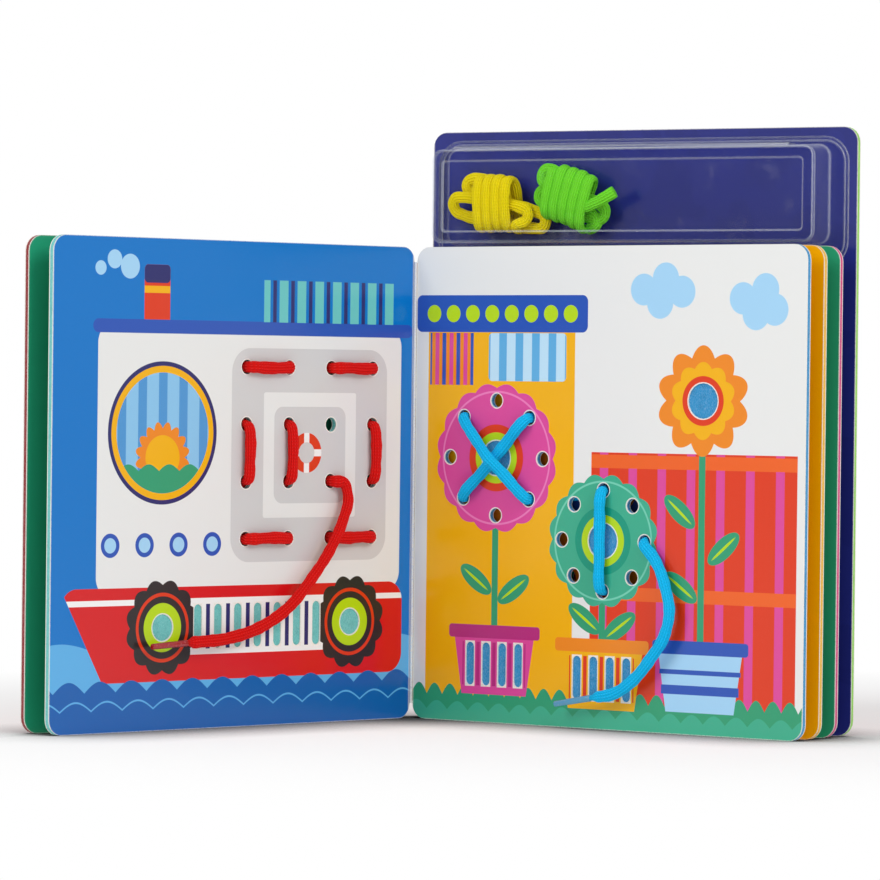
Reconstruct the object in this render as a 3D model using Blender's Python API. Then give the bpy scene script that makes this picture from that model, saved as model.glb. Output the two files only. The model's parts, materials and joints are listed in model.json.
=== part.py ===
"""Lacing board book: six felt-cored boards on card folds, two threaded laces, and a lidded tray of spare laces.

The back cover lies in the X-Z plane with its outer face towards +Y, and the book stands on z = 0.
The world origin is the middle of the back cover's bottom edge.
Every other board hangs on the fold line of the one behind it, so each board is modelled flat in its own
fold's axes: X out from the fold, Y towards the back cover, Z up.
"""

from collections import namedtuple
from math import atan2, cos, hypot, pi, radians, sin, tau

import bpy
import bmesh
from mathutils import Matrix, Vector
from mathutils.geometry import delaunay_2d_cdt

mm = 0.001

# Boards
board_width = 218.0 * mm
page_height = 220.0 * mm
back_rise = 54.0 * mm
corner_radius = 7.0 * mm
board_thickness = 3.0 * mm
card_thickness = 0.5 * mm
glue_line = 0.05 * mm

# Folds
fold_gap = 1.2 * mm
fold_clearance = 0.1 * mm
spine_setback = 0.6 * mm
leaf_4_opening = radians(3.2)
leaf_3_opening = radians(2.7)
leaf_2_opening = radians(2.5)
leaf_1_opening = radians(98.8)
front_cover_opening = radians(3.5)

# Spine wrap
wrap_thickness = 0.5 * mm
wrap_bulge = 7.2 * mm
wrap_clearance = 0.3 * mm

# Lacing holes and die-cut windows
hole_diameter = 6.6 * mm
grid_pitch = 26.0 * mm
grid_first_out = 26.0 * mm
grid_first_up = 85.0 * mm
grid_count = 4
large_ring_out = 47.8 * mm
large_ring_up = 122.4 * mm
large_ring_radius = 26.5 * mm
flower_step_out = 61.0 * mm
flower_step_down = 36.6 * mm
small_ring_radius = 23.0 * mm
page_ring_holes = 8
hidden_ring_holes = 6
hidden_ring_radius = 48.0 * mm
eye_radius = 8.0 * mm
third_flower_out = 163.0 * mm
third_flower_up = 150.0 * mm
slot_width = 4.6 * mm
slot_height = 20.0 * mm
slot_pitch = 9.2 * mm
pot_slot_count = 4
large_pot_slot_up = 27.0 * mm
small_pot_slot_up = 23.0 * mm
hull_slot_pitch = 12.0 * mm
hull_slot_count = 7
hull_slot_first_out = 60.0 * mm
hull_slot_up = 46.0 * mm
porthole_radius = 6.0 * mm
porthole_gap = 12.7 * mm

# Laces
lace_width = 5.4 * mm
lace_shown_thickness = 3.6 * mm
lace_pressed_thickness = 1.6 * mm
lace_gap = 0.3 * mm
lace_bend = 1.9 * mm
lace_hole_play = 1.1 * mm
lace_in_hole_thickness = 2.4 * mm
tip_diameter = 3.0 * mm
tip_length = 20.5 * mm
tip_gap = 0.3 * mm
tail_step = 12.0 * mm
lace_end_width = 2.4 * mm
bend_middle_share = 0.5

# Loose ends: out from the fold, up, and height over the board's face, after the last hole and before the first
red_free_end = [(46.8 * mm, 110.6 * mm, 3.0 * mm), (45.0 * mm, 104.2 * mm, 4.5 * mm),
                (50.2 * mm, 92.8 * mm, 6.8 * mm), (58.2 * mm, 79.5 * mm, 7.0 * mm),
                (69.0 * mm, 66.6 * mm, 6.6 * mm), (82.4 * mm, 53.9 * mm, 6.2 * mm),
                (99.3 * mm, 45.2 * mm, 6.0 * mm), (121.0 * mm, 40.3 * mm, 6.0 * mm),
                (143.4 * mm, 39.1 * mm, 6.0 * mm)]
red_start_end = [(112.0 * mm, 163.5 * mm, 1.6 * mm), (131.0 * mm, 161.0 * mm, 2.2 * mm)]
blue_free_end = [(138.5 * mm, 79.5 * mm, 2.6 * mm), (146.8 * mm, 65.8 * mm, 4.5 * mm),
                 (149.8 * mm, 55.1 * mm, 5.5 * mm), (147.6 * mm, 44.3 * mm, 6.0 * mm),
                 (140.1 * mm, 33.6 * mm, 6.0 * mm), (130.9 * mm, 23.7 * mm, 6.0 * mm),
                 (118.3 * mm, 16.4 * mm, 6.0 * mm), (107.7 * mm, 14.5 * mm, 6.0 * mm)]
blue_start_end = [(76.0 * mm, 143.5 * mm, 1.5 * mm), (96.0 * mm, 147.0 * mm, 2.0 * mm),
                  (120.0 * mm, 143.0 * mm, 2.4 * mm), (146.0 * mm, 134.0 * mm, 2.6 * mm),
                  (172.0 * mm, 137.0 * mm, 2.8 * mm), (188.0 * mm, 144.0 * mm, 2.8 * mm)]

# Clear tray on the back cover
tray_wall = 0.8 * mm
tray_depth = 18.0 * mm
tray_draft = 0.8 * mm
tray_spine_margin = 9.4 * mm
tray_fore_margin = 13.6 * mm
tray_page_gap = 1.6 * mm
tray_top_margin = 8.4 * mm
tray_corner = 5.0 * mm
flange_spine_margin = 3.6 * mm
flange_fore_margin = 3.8 * mm
flange_behind_pages = 9.5 * mm
flange_top_margin = 4.0 * mm
flange_corner = 12.0 * mm

# Tray lid, hinged along its top edge
lid_gap = 0.3 * mm
lid_border = 5.4 * mm
lid_recess = 1.9 * mm
lid_slope = 1.2 * mm
lid_hinge_gap = 0.6 * mm
lip_radius = 0.45 * mm
lip_depth = 3.0 * mm
lip_inset = 12.0 * mm

# Spare laces in the tray, one behind the other where they lap
hank_seat = 0.3 * mm
hank_corner = 11.0 * mm
yellow_hank_inset = 2.0 * mm
yellow_hank_length = 54.0 * mm
yellow_hank_headroom = 12.8 * mm
green_hank_lap = 12.0 * mm
green_hank_length = 46.0 * mm
green_hank_headroom = 8.8 * mm

# Fineness of the round forms
corner_steps = 6
hole_sides = 20
lace_sides = 8
tip_sides = 16
wrap_steps = 16
cut_overrun = 1.0 * mm
merge_distance = 0.001 * mm
triangles_without_holes = 2

back_height = page_height + back_rise
layer_middle = board_thickness / 2
core_thickness = board_thickness - 2 * (card_thickness + glue_line)
near_face = fold_gap / 2
far_face = near_face + board_thickness
fold_pitch = fold_gap + board_thickness
fold_radius = hypot(near_face, spine_setback) - fold_clearance
hole_radius = hole_diameter / 2
lace_in_hole_width = hole_diameter - 2 * lace_hole_play
lace_crossing = lace_shown_thickness + lace_gap
tray_left = tray_spine_margin
tray_right = board_width - tray_fore_margin
tray_bottom = page_height + tray_page_gap
tray_top = back_height - tray_top_margin
tray_inset = tray_draft + tray_wall
tray_mouth = near_face - tray_depth + tray_wall + lid_gap
lid_top = tray_top - tray_draft
lid_front = tray_mouth - lid_gap - tray_wall
hinge_along = lid_front + tray_wall / 2
hinge_up = lid_top + lid_hinge_gap
hank_front = tray_mouth + lid_gap + lid_recess + tray_wall
hank_depth = (near_face - hank_front) / 2 - hank_seat


# Materials
def make_material(name, colour, roughness, alpha=1.0):
    material = bpy.data.materials.new(name)
    material.use_nodes = True
    shader = material.node_tree.nodes["Principled BSDF"]
    shader.inputs["Base Color"].default_value = (*colour, 1.0)
    shader.inputs["Roughness"].default_value = roughness
    shader.inputs["Metallic"].default_value = 0.0
    shader.inputs["Alpha"].default_value = alpha
    material.diffuse_color = (*colour, alpha)
    return material


# Outlines, as lists of points in a board's plane: out from the fold, then up
def arc_points(centre, radius, start, end, steps):
    turns = [start + (end - start) * step / steps for step in range(steps + 1)]
    return [(centre[0] + radius * cos(turn), centre[1] + radius * sin(turn)) for turn in turns]


def rounded_rectangle(left, bottom, right, top, radius):
    centres = [(right - radius, bottom + radius, -pi / 2), (right - radius, top - radius, 0),
               (left + radius, top - radius, pi / 2), (left + radius, bottom + radius, pi)]
    points = []
    for across, up, start in centres:
        points += arc_points((across, up), radius, start, start + pi / 2, corner_steps)
    return points


def circle(centre, radius):
    return arc_points(centre, radius, 0, tau, hole_sides)[:-1]


def slot(middle_out, middle_up, width, height):
    end = height / 2 - width / 2
    points = arc_points((middle_out, middle_up + end), width / 2, 0, pi, corner_steps)
    return points + arc_points((middle_out, middle_up - end), width / 2, pi, tau, corner_steps)


def slot_row(middle_out, middle_up, pitch, count):
    first = middle_out - pitch * (count - 1) / 2
    return [slot(first + pitch * k, middle_up, slot_width, slot_height) for k in range(count)]


def ring_places(centre, radius, count):
    return [(centre[0] + radius * cos(tau * k / count), centre[1] + radius * sin(tau * k / count))
            for k in range(count)]


# Objects
book = bpy.data.collections.new("lacing_board_book")
cutters = bpy.data.collections.new("cutters")


def place(made, parent, location=(0, 0, 0), rotation=(0, 0, 0), material=None):
    made.location = location
    made.rotation_euler = rotation
    made.parent = parent
    if material:
        made.data.materials.clear()
        made.data.materials.append(material)
    return made


def add_empty(name, parent, location, turn):
    empty = bpy.data.objects.new(name, None)
    book.objects.link(empty)
    return place(empty, parent, location, (0, 0, turn))


def outline_mesh(name, outlines, thickness):
    """A closed mesh of a flat outline with holes, thickness deep about its own middle plane."""
    corners = [Vector(point) for outline in outlines for point in outline]
    loops = []
    for outline in outlines:
        first = loops[-1][-1] + 1 if loops else 0
        loops.append(list(range(first, first + len(outline))))
    corners, _, triangles, *_ = delaunay_2d_cdt(corners, [], loops, triangles_without_holes, merge_distance)
    work = bmesh.new()
    lower = [work.verts.new((corner.x, corner.y, -thickness / 2)) for corner in corners]
    for triangle in triangles:
        work.faces.new([lower[corner] for corner in triangle])
    copied = bmesh.ops.extrude_face_region(work, geom=work.faces[:])["geom"]
    upper = [item for item in copied if isinstance(item, bmesh.types.BMVert)]
    bmesh.ops.translate(work, verts=upper, vec=(0, 0, thickness))
    bmesh.ops.recalc_face_normals(work, faces=work.faces)
    mesh = bpy.data.meshes.new(name)
    work.to_mesh(mesh)
    work.free()
    return mesh


def add_sheet(name, parent, outlines, thickness, middle, material):
    """A sheet that stands in its board's plane, its middle plane at middle along the board's Y."""
    made = bpy.data.objects.new(name, outline_mesh(name, outlines, thickness))
    book.objects.link(made)
    return place(made, parent, (0, middle, 0), (pi / 2, 0, 0), material)


def combine(target, other, operation):
    """Applies one exact Boolean, so that target is a plain mesh again."""
    step = target.modifiers.new(operation.lower(), "BOOLEAN")
    step.operation = operation
    step.solver = "EXACT"
    step.object = other
    bpy.context.view_layer.update()
    graph = bpy.context.evaluated_depsgraph_get()
    mesh = bpy.data.meshes.new_from_object(target.evaluated_get(graph))
    target.modifiers.clear()
    target.data = mesh


def add_cutter(made):
    cutters.objects.link(made)
    made.hide_render = True
    made.display_type = "WIRE"
    return made


def add_fold(card):
    """Rolls a card's spine edge round the fold's axis, as the folded sheet runs on into the next page."""
    height = page_height - 2 * corner_radius
    work = bmesh.new()
    bmesh.ops.create_cone(work, cap_ends=True, segments=hole_sides, radius1=fold_radius, radius2=fold_radius,
                          depth=height)
    mesh = bpy.data.meshes.new(card.name + "_fold")
    work.to_mesh(mesh)
    work.free()
    roll = add_cutter(bpy.data.objects.new(card.name + "_fold", mesh))
    place(roll, card.parent, (0, 0, page_height / 2))
    combine(card, roll, "UNION")


# Boards
def add_board(name, parent, side, height, colours, holes=(), windows=None):
    """Two printed cards on a felt core, the card nearest the fold's axis first.

    side is -1 for a board before its fold's axis and 1 for the one behind it. Windows are die-cut through
    one card only, so that the felt shows in them.
    """
    is_cover = name.endswith("cover")
    layers = ("inner_card", "felt_core", "outer_card") if is_cover else ("verso_card", "felt_core", "recto_card")
    middles = (near_face + card_thickness / 2, near_face + layer_middle, far_face - card_thickness / 2)
    thicknesses = (card_thickness, core_thickness, card_thickness)
    cut = [circle(centre, hole_radius) for centre in holes]
    for layer, middle, thickness, colour in zip(layers, middles, thicknesses, colours):
        folded = layer == layers[0] and side < 0
        start = 0 if folded else spine_setback
        outline = rounded_rectangle(start, 0, board_width, height, corner_radius)
        sheet = add_sheet(f"{name}_{layer}", parent, [outline] + cut + (windows or {}).get(layer, []),
                          thickness, side * middle, colour)
        if folded:
            add_fold(sheet)


# Laces, as rings of points round a list of stations in the board's own axes
Station = namedtuple("Station", "centre across width thickness")


def add_lace(name, parent, stations, material):
    """A lace lofted through its stations, closed at both ends."""
    work = bmesh.new()
    rings = []
    across = stations[0].across
    for k, station in enumerate(stations):
        ahead = stations[min(k + 1, len(stations) - 1)].centre
        behind = stations[max(k - 1, 0)].centre
        along = (ahead - behind).normalized()
        wanted = station.across - along * station.across.dot(along)
        across = wanted.normalized() if wanted.dot(across) > 0 else -wanted.normalized()
        over = along.cross(across)
        ring = []
        for turn in (tau * side / lace_sides for side in range(lace_sides)):
            offset = across * (station.width / 2 * cos(turn)) + over * (station.thickness / 2 * sin(turn))
            ring.append(work.verts.new(station.centre + offset))
        rings.append(ring)
    for ring, following in zip(rings, rings[1:]):
        for side in range(lace_sides):
            beside = (side + 1) % lace_sides
            work.faces.new((ring[side], ring[beside], following[beside], following[side]))
    work.faces.new(rings[0][::-1])
    work.faces.new(rings[-1])
    bmesh.ops.recalc_face_normals(work, faces=work.faces)
    mesh = bpy.data.meshes.new(name)
    work.to_mesh(mesh)
    work.free()
    made = bpy.data.objects.new(name, mesh)
    book.objects.link(made)
    return place(made, parent, material=material)


def on_board(out, up, height, facing):
    """A point at height over the middle of a board, on the side that facing gives along the board's Y."""
    return Vector((out, facing * height - near_face - layer_middle, up))


def side_axis(along):
    return Vector((-along.z, 0, along.x))


def height_on_board(thickness):
    """How far the middle of a lace lies from a board's middle."""
    return layer_middle + lace_gap + thickness / 2


def bend(hole, along, facing, lying):
    """Two stations that turn a lace out of a hole and down on to the board along a stitch, lying thick."""
    turned = []
    for turn, share in ((pi / 4, bend_middle_share), (pi / 2, 1)):
        centre = on_board(hole[0], hole[1], height_on_board(lying) - lace_bend * (1 - sin(turn)), facing)
        centre += along * (lace_bend * (1 - cos(turn)))
        width = lace_in_hole_width + (lace_width - lace_in_hole_width) * share
        thickness = lace_in_hole_thickness + (lying - lace_in_hole_thickness) * share
        turned.append(Station(centre, side_axis(along), width, thickness))
    return turned


def direction(here, there):
    return Vector((there[0] - here[0], 0, there[1] - here[1])).normalized()


def stitch(here, there, facing, lying, lift=0):
    """A stitch on one face from hole to hole, lifted in the middle where it crosses another."""
    along = direction(here, there)
    stations = bend(here, along, facing, lying)
    if lift:
        middle = on_board((here[0] + there[0]) / 2, (here[1] + there[1]) / 2, height_on_board(lying) + lift,
                          facing)
        for step in (-lace_width, lace_width):
            stations.append(Station(middle + along * step, side_axis(along), lace_width, lying))
    return stations + bend(there, -along, facing, lying)[::-1]


def in_hole(hole, before, after):
    """The middle of a hole, turned half way between the stitches on its two sides."""
    first, second = side_axis(before), side_axis(after)
    across = first + second if first.dot(second) >= 0 else first - second
    return Station(on_board(*hole, 0, 1), across, lace_in_hole_width, lace_in_hole_thickness)


def smooth_route(points, spacing):
    """Points about spacing apart on a smooth curve through a route's own points."""
    ends = [points[0] * 2 - points[1]] + points + [points[-1] * 2 - points[-2]]
    route = []
    for before, here, there, after in zip(ends, ends[1:], ends[2:], ends[3:]):
        steps = max(1, round((there - here).length / spacing))
        for step in range(steps):
            t = step / steps
            route.append((here * 2 + (there - before) * t
                          + (before * 2 - here * 5 + there * 4 - after) * t ** 2
                          + (here * 3 - before - there * 3 + after) * t ** 3) / 2)
    return route + [points[-1]]


def free_end(points, facing, lying, start):
    """Stations along a loose end, from route points of out, up and height over the board's face."""
    face = board_thickness / 2
    route = smooth_route([start] + [on_board(out, up, face + height, facing) for out, up, height in points],
                         tail_step)
    stations = []
    for here, there in zip(route[1:], route[2:] + [route[-1] * 2 - route[-2]]):
        stations.append(Station(here, side_axis((there - here).normalized()), lace_width, lying))
    end = stations[-1]
    stations[-1] = end._replace(width=lace_end_width, thickness=lace_end_width)
    return stations


def thread(name, parent, holes, first_facing, lifted, start_end, free, material):
    """A lace through holes in turn, with a loose end before and after. Its stitches lie on alternate faces:
    plump on the first, which the open spread shows, and pressed flat on the other, by the next board."""
    def lying(facing):
        return lace_shown_thickness if facing == first_facing else lace_pressed_thickness

    facing = first_facing
    first_along = direction(holes[0], start_end[0])
    first_bend = bend(holes[0], first_along, -facing, lying(-facing))
    stations = free_end(start_end, -facing, lying(-facing), first_bend[-1].centre)[::-1] + first_bend[::-1]
    before = first_along
    for number, (here, there) in enumerate(zip(holes, holes[1:])):
        along = direction(here, there)
        stations.append(in_hole(here, before, along))
        stations += stitch(here, there, facing, lying(facing), lace_crossing if number in lifted else 0)
        before, facing = along, -facing
    last_along = direction(holes[-1], free[0])
    last_bend = bend(holes[-1], last_along, facing, lying(facing))
    stations.append(in_hole(holes[-1], before, last_along))
    stations += last_bend + free_end(free, facing, lying(facing), last_bend[-1].centre)
    add_lace(name, parent, stations, material)
    length = sum((b.centre - a.centre).length for a, b in zip(stations, stations[1:]))
    print(f"{name} is {length / mm:.0f} mm long at {len(stations)} stations")
    return stations


def add_tip(name, parent, end, before, material):
    """A tube tip just past a lace's end, in line with its last stretch."""
    along = (end.centre - before.centre).normalized()
    work = bmesh.new()
    bmesh.ops.create_cone(work, cap_ends=True, segments=tip_sides, radius1=tip_diameter / 2,
                          radius2=tip_diameter / 2, depth=tip_length)
    mesh = bpy.data.meshes.new(name)
    work.to_mesh(mesh)
    work.free()
    made = bpy.data.objects.new(name, mesh)
    book.objects.link(made)
    middle = end.centre + along * (tip_gap + tip_length / 2)
    return place(made, parent, middle, along.to_track_quat("Z", "X").to_euler(), material)


# Tray
def drafted_block(name, edges, radius, back, front, inset):
    """A block from back to front along the board's Y, each side moved in by inset at the front."""
    left, bottom, right, top = edges
    near_outline = rounded_rectangle(left + inset, bottom + inset, right - inset, top - inset, radius)
    work = bmesh.new()
    rings = []
    for outline, depth in ((rounded_rectangle(*edges, radius), back), (near_outline, front)):
        rings.append([work.verts.new((across, depth, up)) for across, up in outline])
    for corner in range(len(rings[0])):
        beside = (corner + 1) % len(rings[0])
        work.faces.new((rings[0][corner], rings[0][beside], rings[1][beside], rings[1][corner]))
    work.faces.new(rings[0][::-1])
    work.faces.new(rings[1])
    bmesh.ops.recalc_face_normals(work, faces=work.faces)
    mesh = bpy.data.meshes.new(name)
    work.to_mesh(mesh)
    work.free()
    return mesh


def add_block(name, parent, mesh, material=None, cutter=False):
    made = bpy.data.objects.new(name, mesh)
    if cutter:
        add_cutter(made)
    else:
        book.objects.link(made)
    return place(made, parent, material=material)


def box_mesh(name, low, high):
    work = bmesh.new()
    size = [b - a for a, b in zip(low, high)]
    middle = [(a + b) / 2 for a, b in zip(low, high)]
    bmesh.ops.create_cube(work, size=1, matrix=Matrix.Translation(middle) @ Matrix.Diagonal((*size, 1)))
    mesh = bpy.data.meshes.new(name)
    work.to_mesh(mesh)
    work.free()
    return mesh


def grown(edges, amount):
    left, bottom, right, top = edges
    return left - amount, bottom - amount, right + amount, top + amount


def add_tray(parent, material):
    """A flange, four drafted walls and a hinge lip, open at the front and at the board behind."""
    flange = rounded_rectangle(flange_spine_margin, page_height - flange_behind_pages,
                               board_width - flange_fore_margin, back_height - flange_top_margin, flange_corner)
    back = near_face - glue_line - tray_wall / 2
    tray = add_sheet("thread_tray", parent, [flange], tray_wall, back, material)
    edges = (tray_left, tray_bottom, tray_right, tray_top)
    walls = drafted_block("tray_walls", edges, tray_corner, back, tray_mouth, tray_draft)
    combine(tray, add_block("tray_walls", parent, walls, cutter=True), "UNION")
    run_out = tray_draft * cut_overrun / (back - tray_mouth)
    inside = drafted_block("tray_inside", grown(edges, run_out - tray_wall), tray_corner - tray_wall,
                           back + cut_overrun, tray_mouth - cut_overrun, tray_draft + 2 * run_out)
    combine(tray, add_block("tray_inside", parent, inside, cutter=True), "DIFFERENCE")
    left, right = tray_left + lip_inset, tray_right - lip_inset
    lip_top = hinge_up + lip_radius
    saddle = box_mesh("lip_saddle", (left, tray_mouth, lid_top - tray_wall / 2),
                      (right, tray_mouth + lip_depth, lip_top))
    arm = box_mesh("lip_arm", (left, hinge_along, hinge_up - lip_radius), (right, tray_mouth + lip_radius, lip_top))
    for mesh in (saddle, arm):
        combine(tray, add_block(mesh.name, parent, mesh, cutter=True), "UNION")
    work = bmesh.new()
    bmesh.ops.create_cone(work, cap_ends=True, segments=hole_sides, radius1=lip_radius, radius2=lip_radius,
                          depth=right - left)
    mesh = bpy.data.meshes.new("lip_roll")
    work.to_mesh(mesh)
    work.free()
    roll = add_cutter(bpy.data.objects.new("lip_roll", mesh))
    place(roll, parent, ((left + right) / 2, hinge_along, hinge_up), (0, pi / 2, 0))
    combine(tray, roll, "UNION")
    return tray


def add_lid(parent, material):
    """A plate over the tray's mouth, its middle pressed in as a plug, on an empty at the hinge."""
    hinge = add_empty("tray_lid_hinge", parent, (0, hinge_along, hinge_up), 0)
    front, rear = lid_front - hinge_along, lid_front + tray_wall - hinge_along
    edges = (tray_left + tray_draft, tray_bottom + tray_draft - hinge_up,
             tray_right - tray_draft, lid_top - hinge_up)
    plate = [rounded_rectangle(*edges, tray_corner - tray_draft)]
    lid = add_sheet("tray_lid", hinge, plate, tray_wall, (front + rear) / 2, material)
    panel = grown(edges, -lid_border)
    plug = drafted_block("lid_plug", grown(panel, tray_wall), tray_corner, (front + rear) / 2,
                         rear + lid_recess, lid_slope)
    combine(lid, add_block("lid_plug", hinge, plug, cutter=True), "UNION")
    over = lid_slope * cut_overrun / lid_recess
    hollow = drafted_block("lid_hollow", grown(panel, over), tray_corner, front - cut_overrun,
                           front + lid_recess, lid_slope + over)
    combine(lid, add_block("lid_hollow", hinge, hollow, cutter=True), "DIFFERENCE")


def add_hank(name, parent, left, length, headroom, front, material):
    bottom = tray_bottom + tray_inset + hank_seat
    top = tray_top - tray_inset + hank_seat - headroom
    outline = rounded_rectangle(left, bottom, left + length, top, min(hank_corner, (top - bottom) / 2))
    return add_sheet(name, parent, [outline], hank_depth, front + hank_depth / 2, material)


# Spine wrap
def add_wrap(start, end, material):
    """A bowed strip from one cover's outer card to the other's, standing between the rounded corners."""
    chord = end - start
    radius = (chord.length ** 2 / 4 + wrap_bulge ** 2) / (2 * wrap_bulge)
    outward = Vector((chord.y, -chord.x)).normalized()
    centre = (start + end) / 2 + outward * (wrap_bulge - radius)
    middle = atan2(outward.y, outward.x)
    half = atan2(chord.length / 2, radius - wrap_bulge)
    outer = arc_points(centre, radius + wrap_thickness / 2, middle - half, middle + half, wrap_steps)
    inner = arc_points(centre, radius - wrap_thickness / 2, middle + half, middle - half, wrap_steps)
    height = page_height - 2 * corner_radius
    wrap = bpy.data.objects.new("spine_wrap", outline_mesh("spine_wrap", [outer + inner], height))
    book.objects.link(wrap)
    return place(wrap, None, (0, 0, page_height / 2), material=material)


def wrap_end(board, side):
    """Where the wrap meets the spine edge of a cover's outer card, in plan."""
    bpy.context.view_layer.update()
    local = Vector((spine_setback - wrap_clearance, side * (far_face - wrap_thickness / 2), 0))
    return (board.matrix_world @ local).xy


# The whole book
def build_book():
    for old in list(bpy.data.objects):
        bpy.data.objects.remove(old)
    bpy.context.scene.collection.children.link(book)
    bpy.context.scene.collection.children.link(cutters)

    white = make_material("white_card", (0.82, 0.82, 0.80), 0.35)
    blue = make_material("blue_card", (0.0, 0.18, 0.58), 0.35)
    green = make_material("green_card", (0.03, 0.36, 0.19), 0.35)
    orange = make_material("orange_card", (0.91, 0.45, 0.0), 0.35)
    navy = make_material("navy_card", (0.017, 0.023, 0.19), 0.35)
    red = make_material("red_card", (0.55, 0.02, 0.02), 0.35)
    red_felt = make_material("red_felt", (0.40, 0.006, 0.006), 0.9)
    teal_felt = make_material("teal_felt", (0.15, 0.57, 0.55), 0.9)
    blue_felt = make_material("blue_felt", (0.023, 0.29, 0.6), 0.9)
    yellow_felt = make_material("yellow_felt", (0.92, 0.48, 0.014), 0.9)
    pink_felt = make_material("pink_felt", (0.69, 0.018, 0.19), 0.9)
    lime_felt = make_material("lime_felt", (0.27, 0.69, 0.05), 0.9)
    clear_plastic = make_material("clear_plastic", (0.9, 0.93, 1.0), 0.08, 0.3)
    red_cord = make_material("red_cord", (0.67, 0.007, 0.004), 0.8)
    blue_cord = make_material("blue_cord", (0.019, 0.35, 0.73), 0.8)
    yellow_cord = make_material("yellow_cord", (0.94, 0.72, 0.0), 0.8)
    green_cord = make_material("green_cord", (0.1, 0.58, 0.025), 0.8)
    red_tip = make_material("red_tip", (0.3, 0.01, 0.01), 0.25)
    blue_tip = make_material("blue_tip", (0.1, 0.2, 0.3), 0.25)

    grid = [(grid_first_out + grid_pitch * across, grid_first_up + grid_pitch * up)
            for up in range(grid_count) for across in range(grid_count)]
    large_flower = (large_ring_out, large_ring_up)
    small_flower = (large_ring_out + flower_step_out, large_ring_up - flower_step_down)
    third_flower = (third_flower_out, third_flower_up)
    large_ring = ring_places(large_flower, large_ring_radius, page_ring_holes)
    small_ring = ring_places(small_flower, small_ring_radius, page_ring_holes)
    page_middle = (board_width / 2, page_height / 2)
    hidden_ring = ring_places(page_middle, hidden_ring_radius, hidden_ring_holes)
    hull_middle = hull_slot_first_out + hull_slot_pitch * (hull_slot_count - 1) / 2
    porthole_reach = hull_middle - hull_slot_first_out + slot_width / 2 + porthole_gap + porthole_radius
    boat_windows = slot_row(hull_middle, hull_slot_up, hull_slot_pitch, hull_slot_count)
    for out in (hull_middle - porthole_reach, hull_middle + porthole_reach):
        boat_windows.append(circle((out, hull_slot_up), porthole_radius))
    garden_windows = [circle(centre, eye_radius) for centre in (large_flower, small_flower, third_flower)]
    garden_windows += slot_row(large_flower[0], large_pot_slot_up, slot_pitch, pot_slot_count)
    garden_windows += slot_row(small_flower[0], small_pot_slot_up, slot_pitch, pot_slot_count)

    origin = (-board_width / 2, -near_face - layer_middle, 0)
    back = add_empty("back_cover_axes", None, origin, 0)
    leaf_4 = add_empty("leaf_4_fold", back, (0, 0, 0), -leaf_4_opening)
    leaf_3 = add_empty("leaf_3_fold", leaf_4, (0, -fold_pitch, 0), -leaf_3_opening)
    leaf_2 = add_empty("leaf_2_fold", leaf_3, (0, -fold_pitch, 0), -leaf_2_opening)
    leaf_1 = add_empty("leaf_1_fold", leaf_2, (0, -fold_pitch, 0), -leaf_1_opening)
    front = add_empty("front_cover_fold", leaf_1, (0, -fold_pitch, 0), -front_cover_opening)

    add_board("back_cover", back, 1, back_height, (navy, lime_felt, red))
    add_board("leaf_4", leaf_4, -1, page_height, (navy, pink_felt, green), hidden_ring)
    add_board("leaf_3", leaf_3, -1, page_height, (green, yellow_felt, orange), hidden_ring)
    add_board("leaf_2", leaf_2, -1, page_height, (orange, blue_felt, white), large_ring + small_ring,
              {"recto_card": garden_windows})
    add_board("leaf_1", leaf_1, -1, page_height, (blue, teal_felt, green), grid, {"verso_card": boat_windows})
    add_board("front_cover", front, -1, page_height, (green, red_felt, red))
    add_wrap(wrap_end(back, 1), wrap_end(front, -1), red)

    add_tray(back, clear_plastic)
    add_lid(back, clear_plastic)
    yellow_left = tray_left + tray_inset + yellow_hank_inset
    green_left = yellow_left + yellow_hank_length - green_hank_lap
    add_hank("yellow_lace_hank", back, yellow_left, yellow_hank_length, yellow_hank_headroom,
             hank_front, yellow_cord)
    add_hank("green_lace_hank", back, green_left, green_hank_length, green_hank_headroom,
             hank_front + hank_depth + hank_seat, green_cord)

    def grid_hole(across, up):
        return grid[across + grid_count * up]

    red_route = [grid_hole(*spot) for spot in ((3, 3), (2, 3), (1, 3), (0, 3), (0, 2), (0, 1), (0, 0), (1, 0),
                                               (2, 0), (3, 0), (3, 1), (3, 2), (2, 2), (2, 1), (1, 1))]
    stations = thread("red_lace", leaf_1, red_route, 1, (), red_start_end, red_free_end, red_cord)
    add_tip("red_lace_tip", leaf_1, stations[-1], stations[-2], red_tip)
    add_tip("red_lace_start_tip", leaf_1, stations[0], stations[1], red_tip)
    blue_route = [large_ring[k] for k in (1, 5, 3, 7)] + [small_ring[k] for k in (2, 6, 0)]
    stations = thread("blue_lace", leaf_2, blue_route, -1, (2,), blue_start_end, blue_free_end, blue_cord)
    add_tip("blue_lace_tip", leaf_2, stations[-1], stations[-2], blue_tip)
    add_tip("blue_lace_start_tip", leaf_2, stations[0], stations[1], blue_tip)


build_book()
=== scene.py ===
# %% [markdown]
# # A lacing board book, dressed for the camera
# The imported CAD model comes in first, as a frame that nothing here may move. Every piece made below sits
# where a CAD solid is, and rides on one of the book's bodies, so that the pages still turn.

# %% Load the frame
import json
from math import atan2, cos, pi, radians, sin, tau

import bmesh
import bpy
from mathutils import Matrix, Vector


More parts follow.
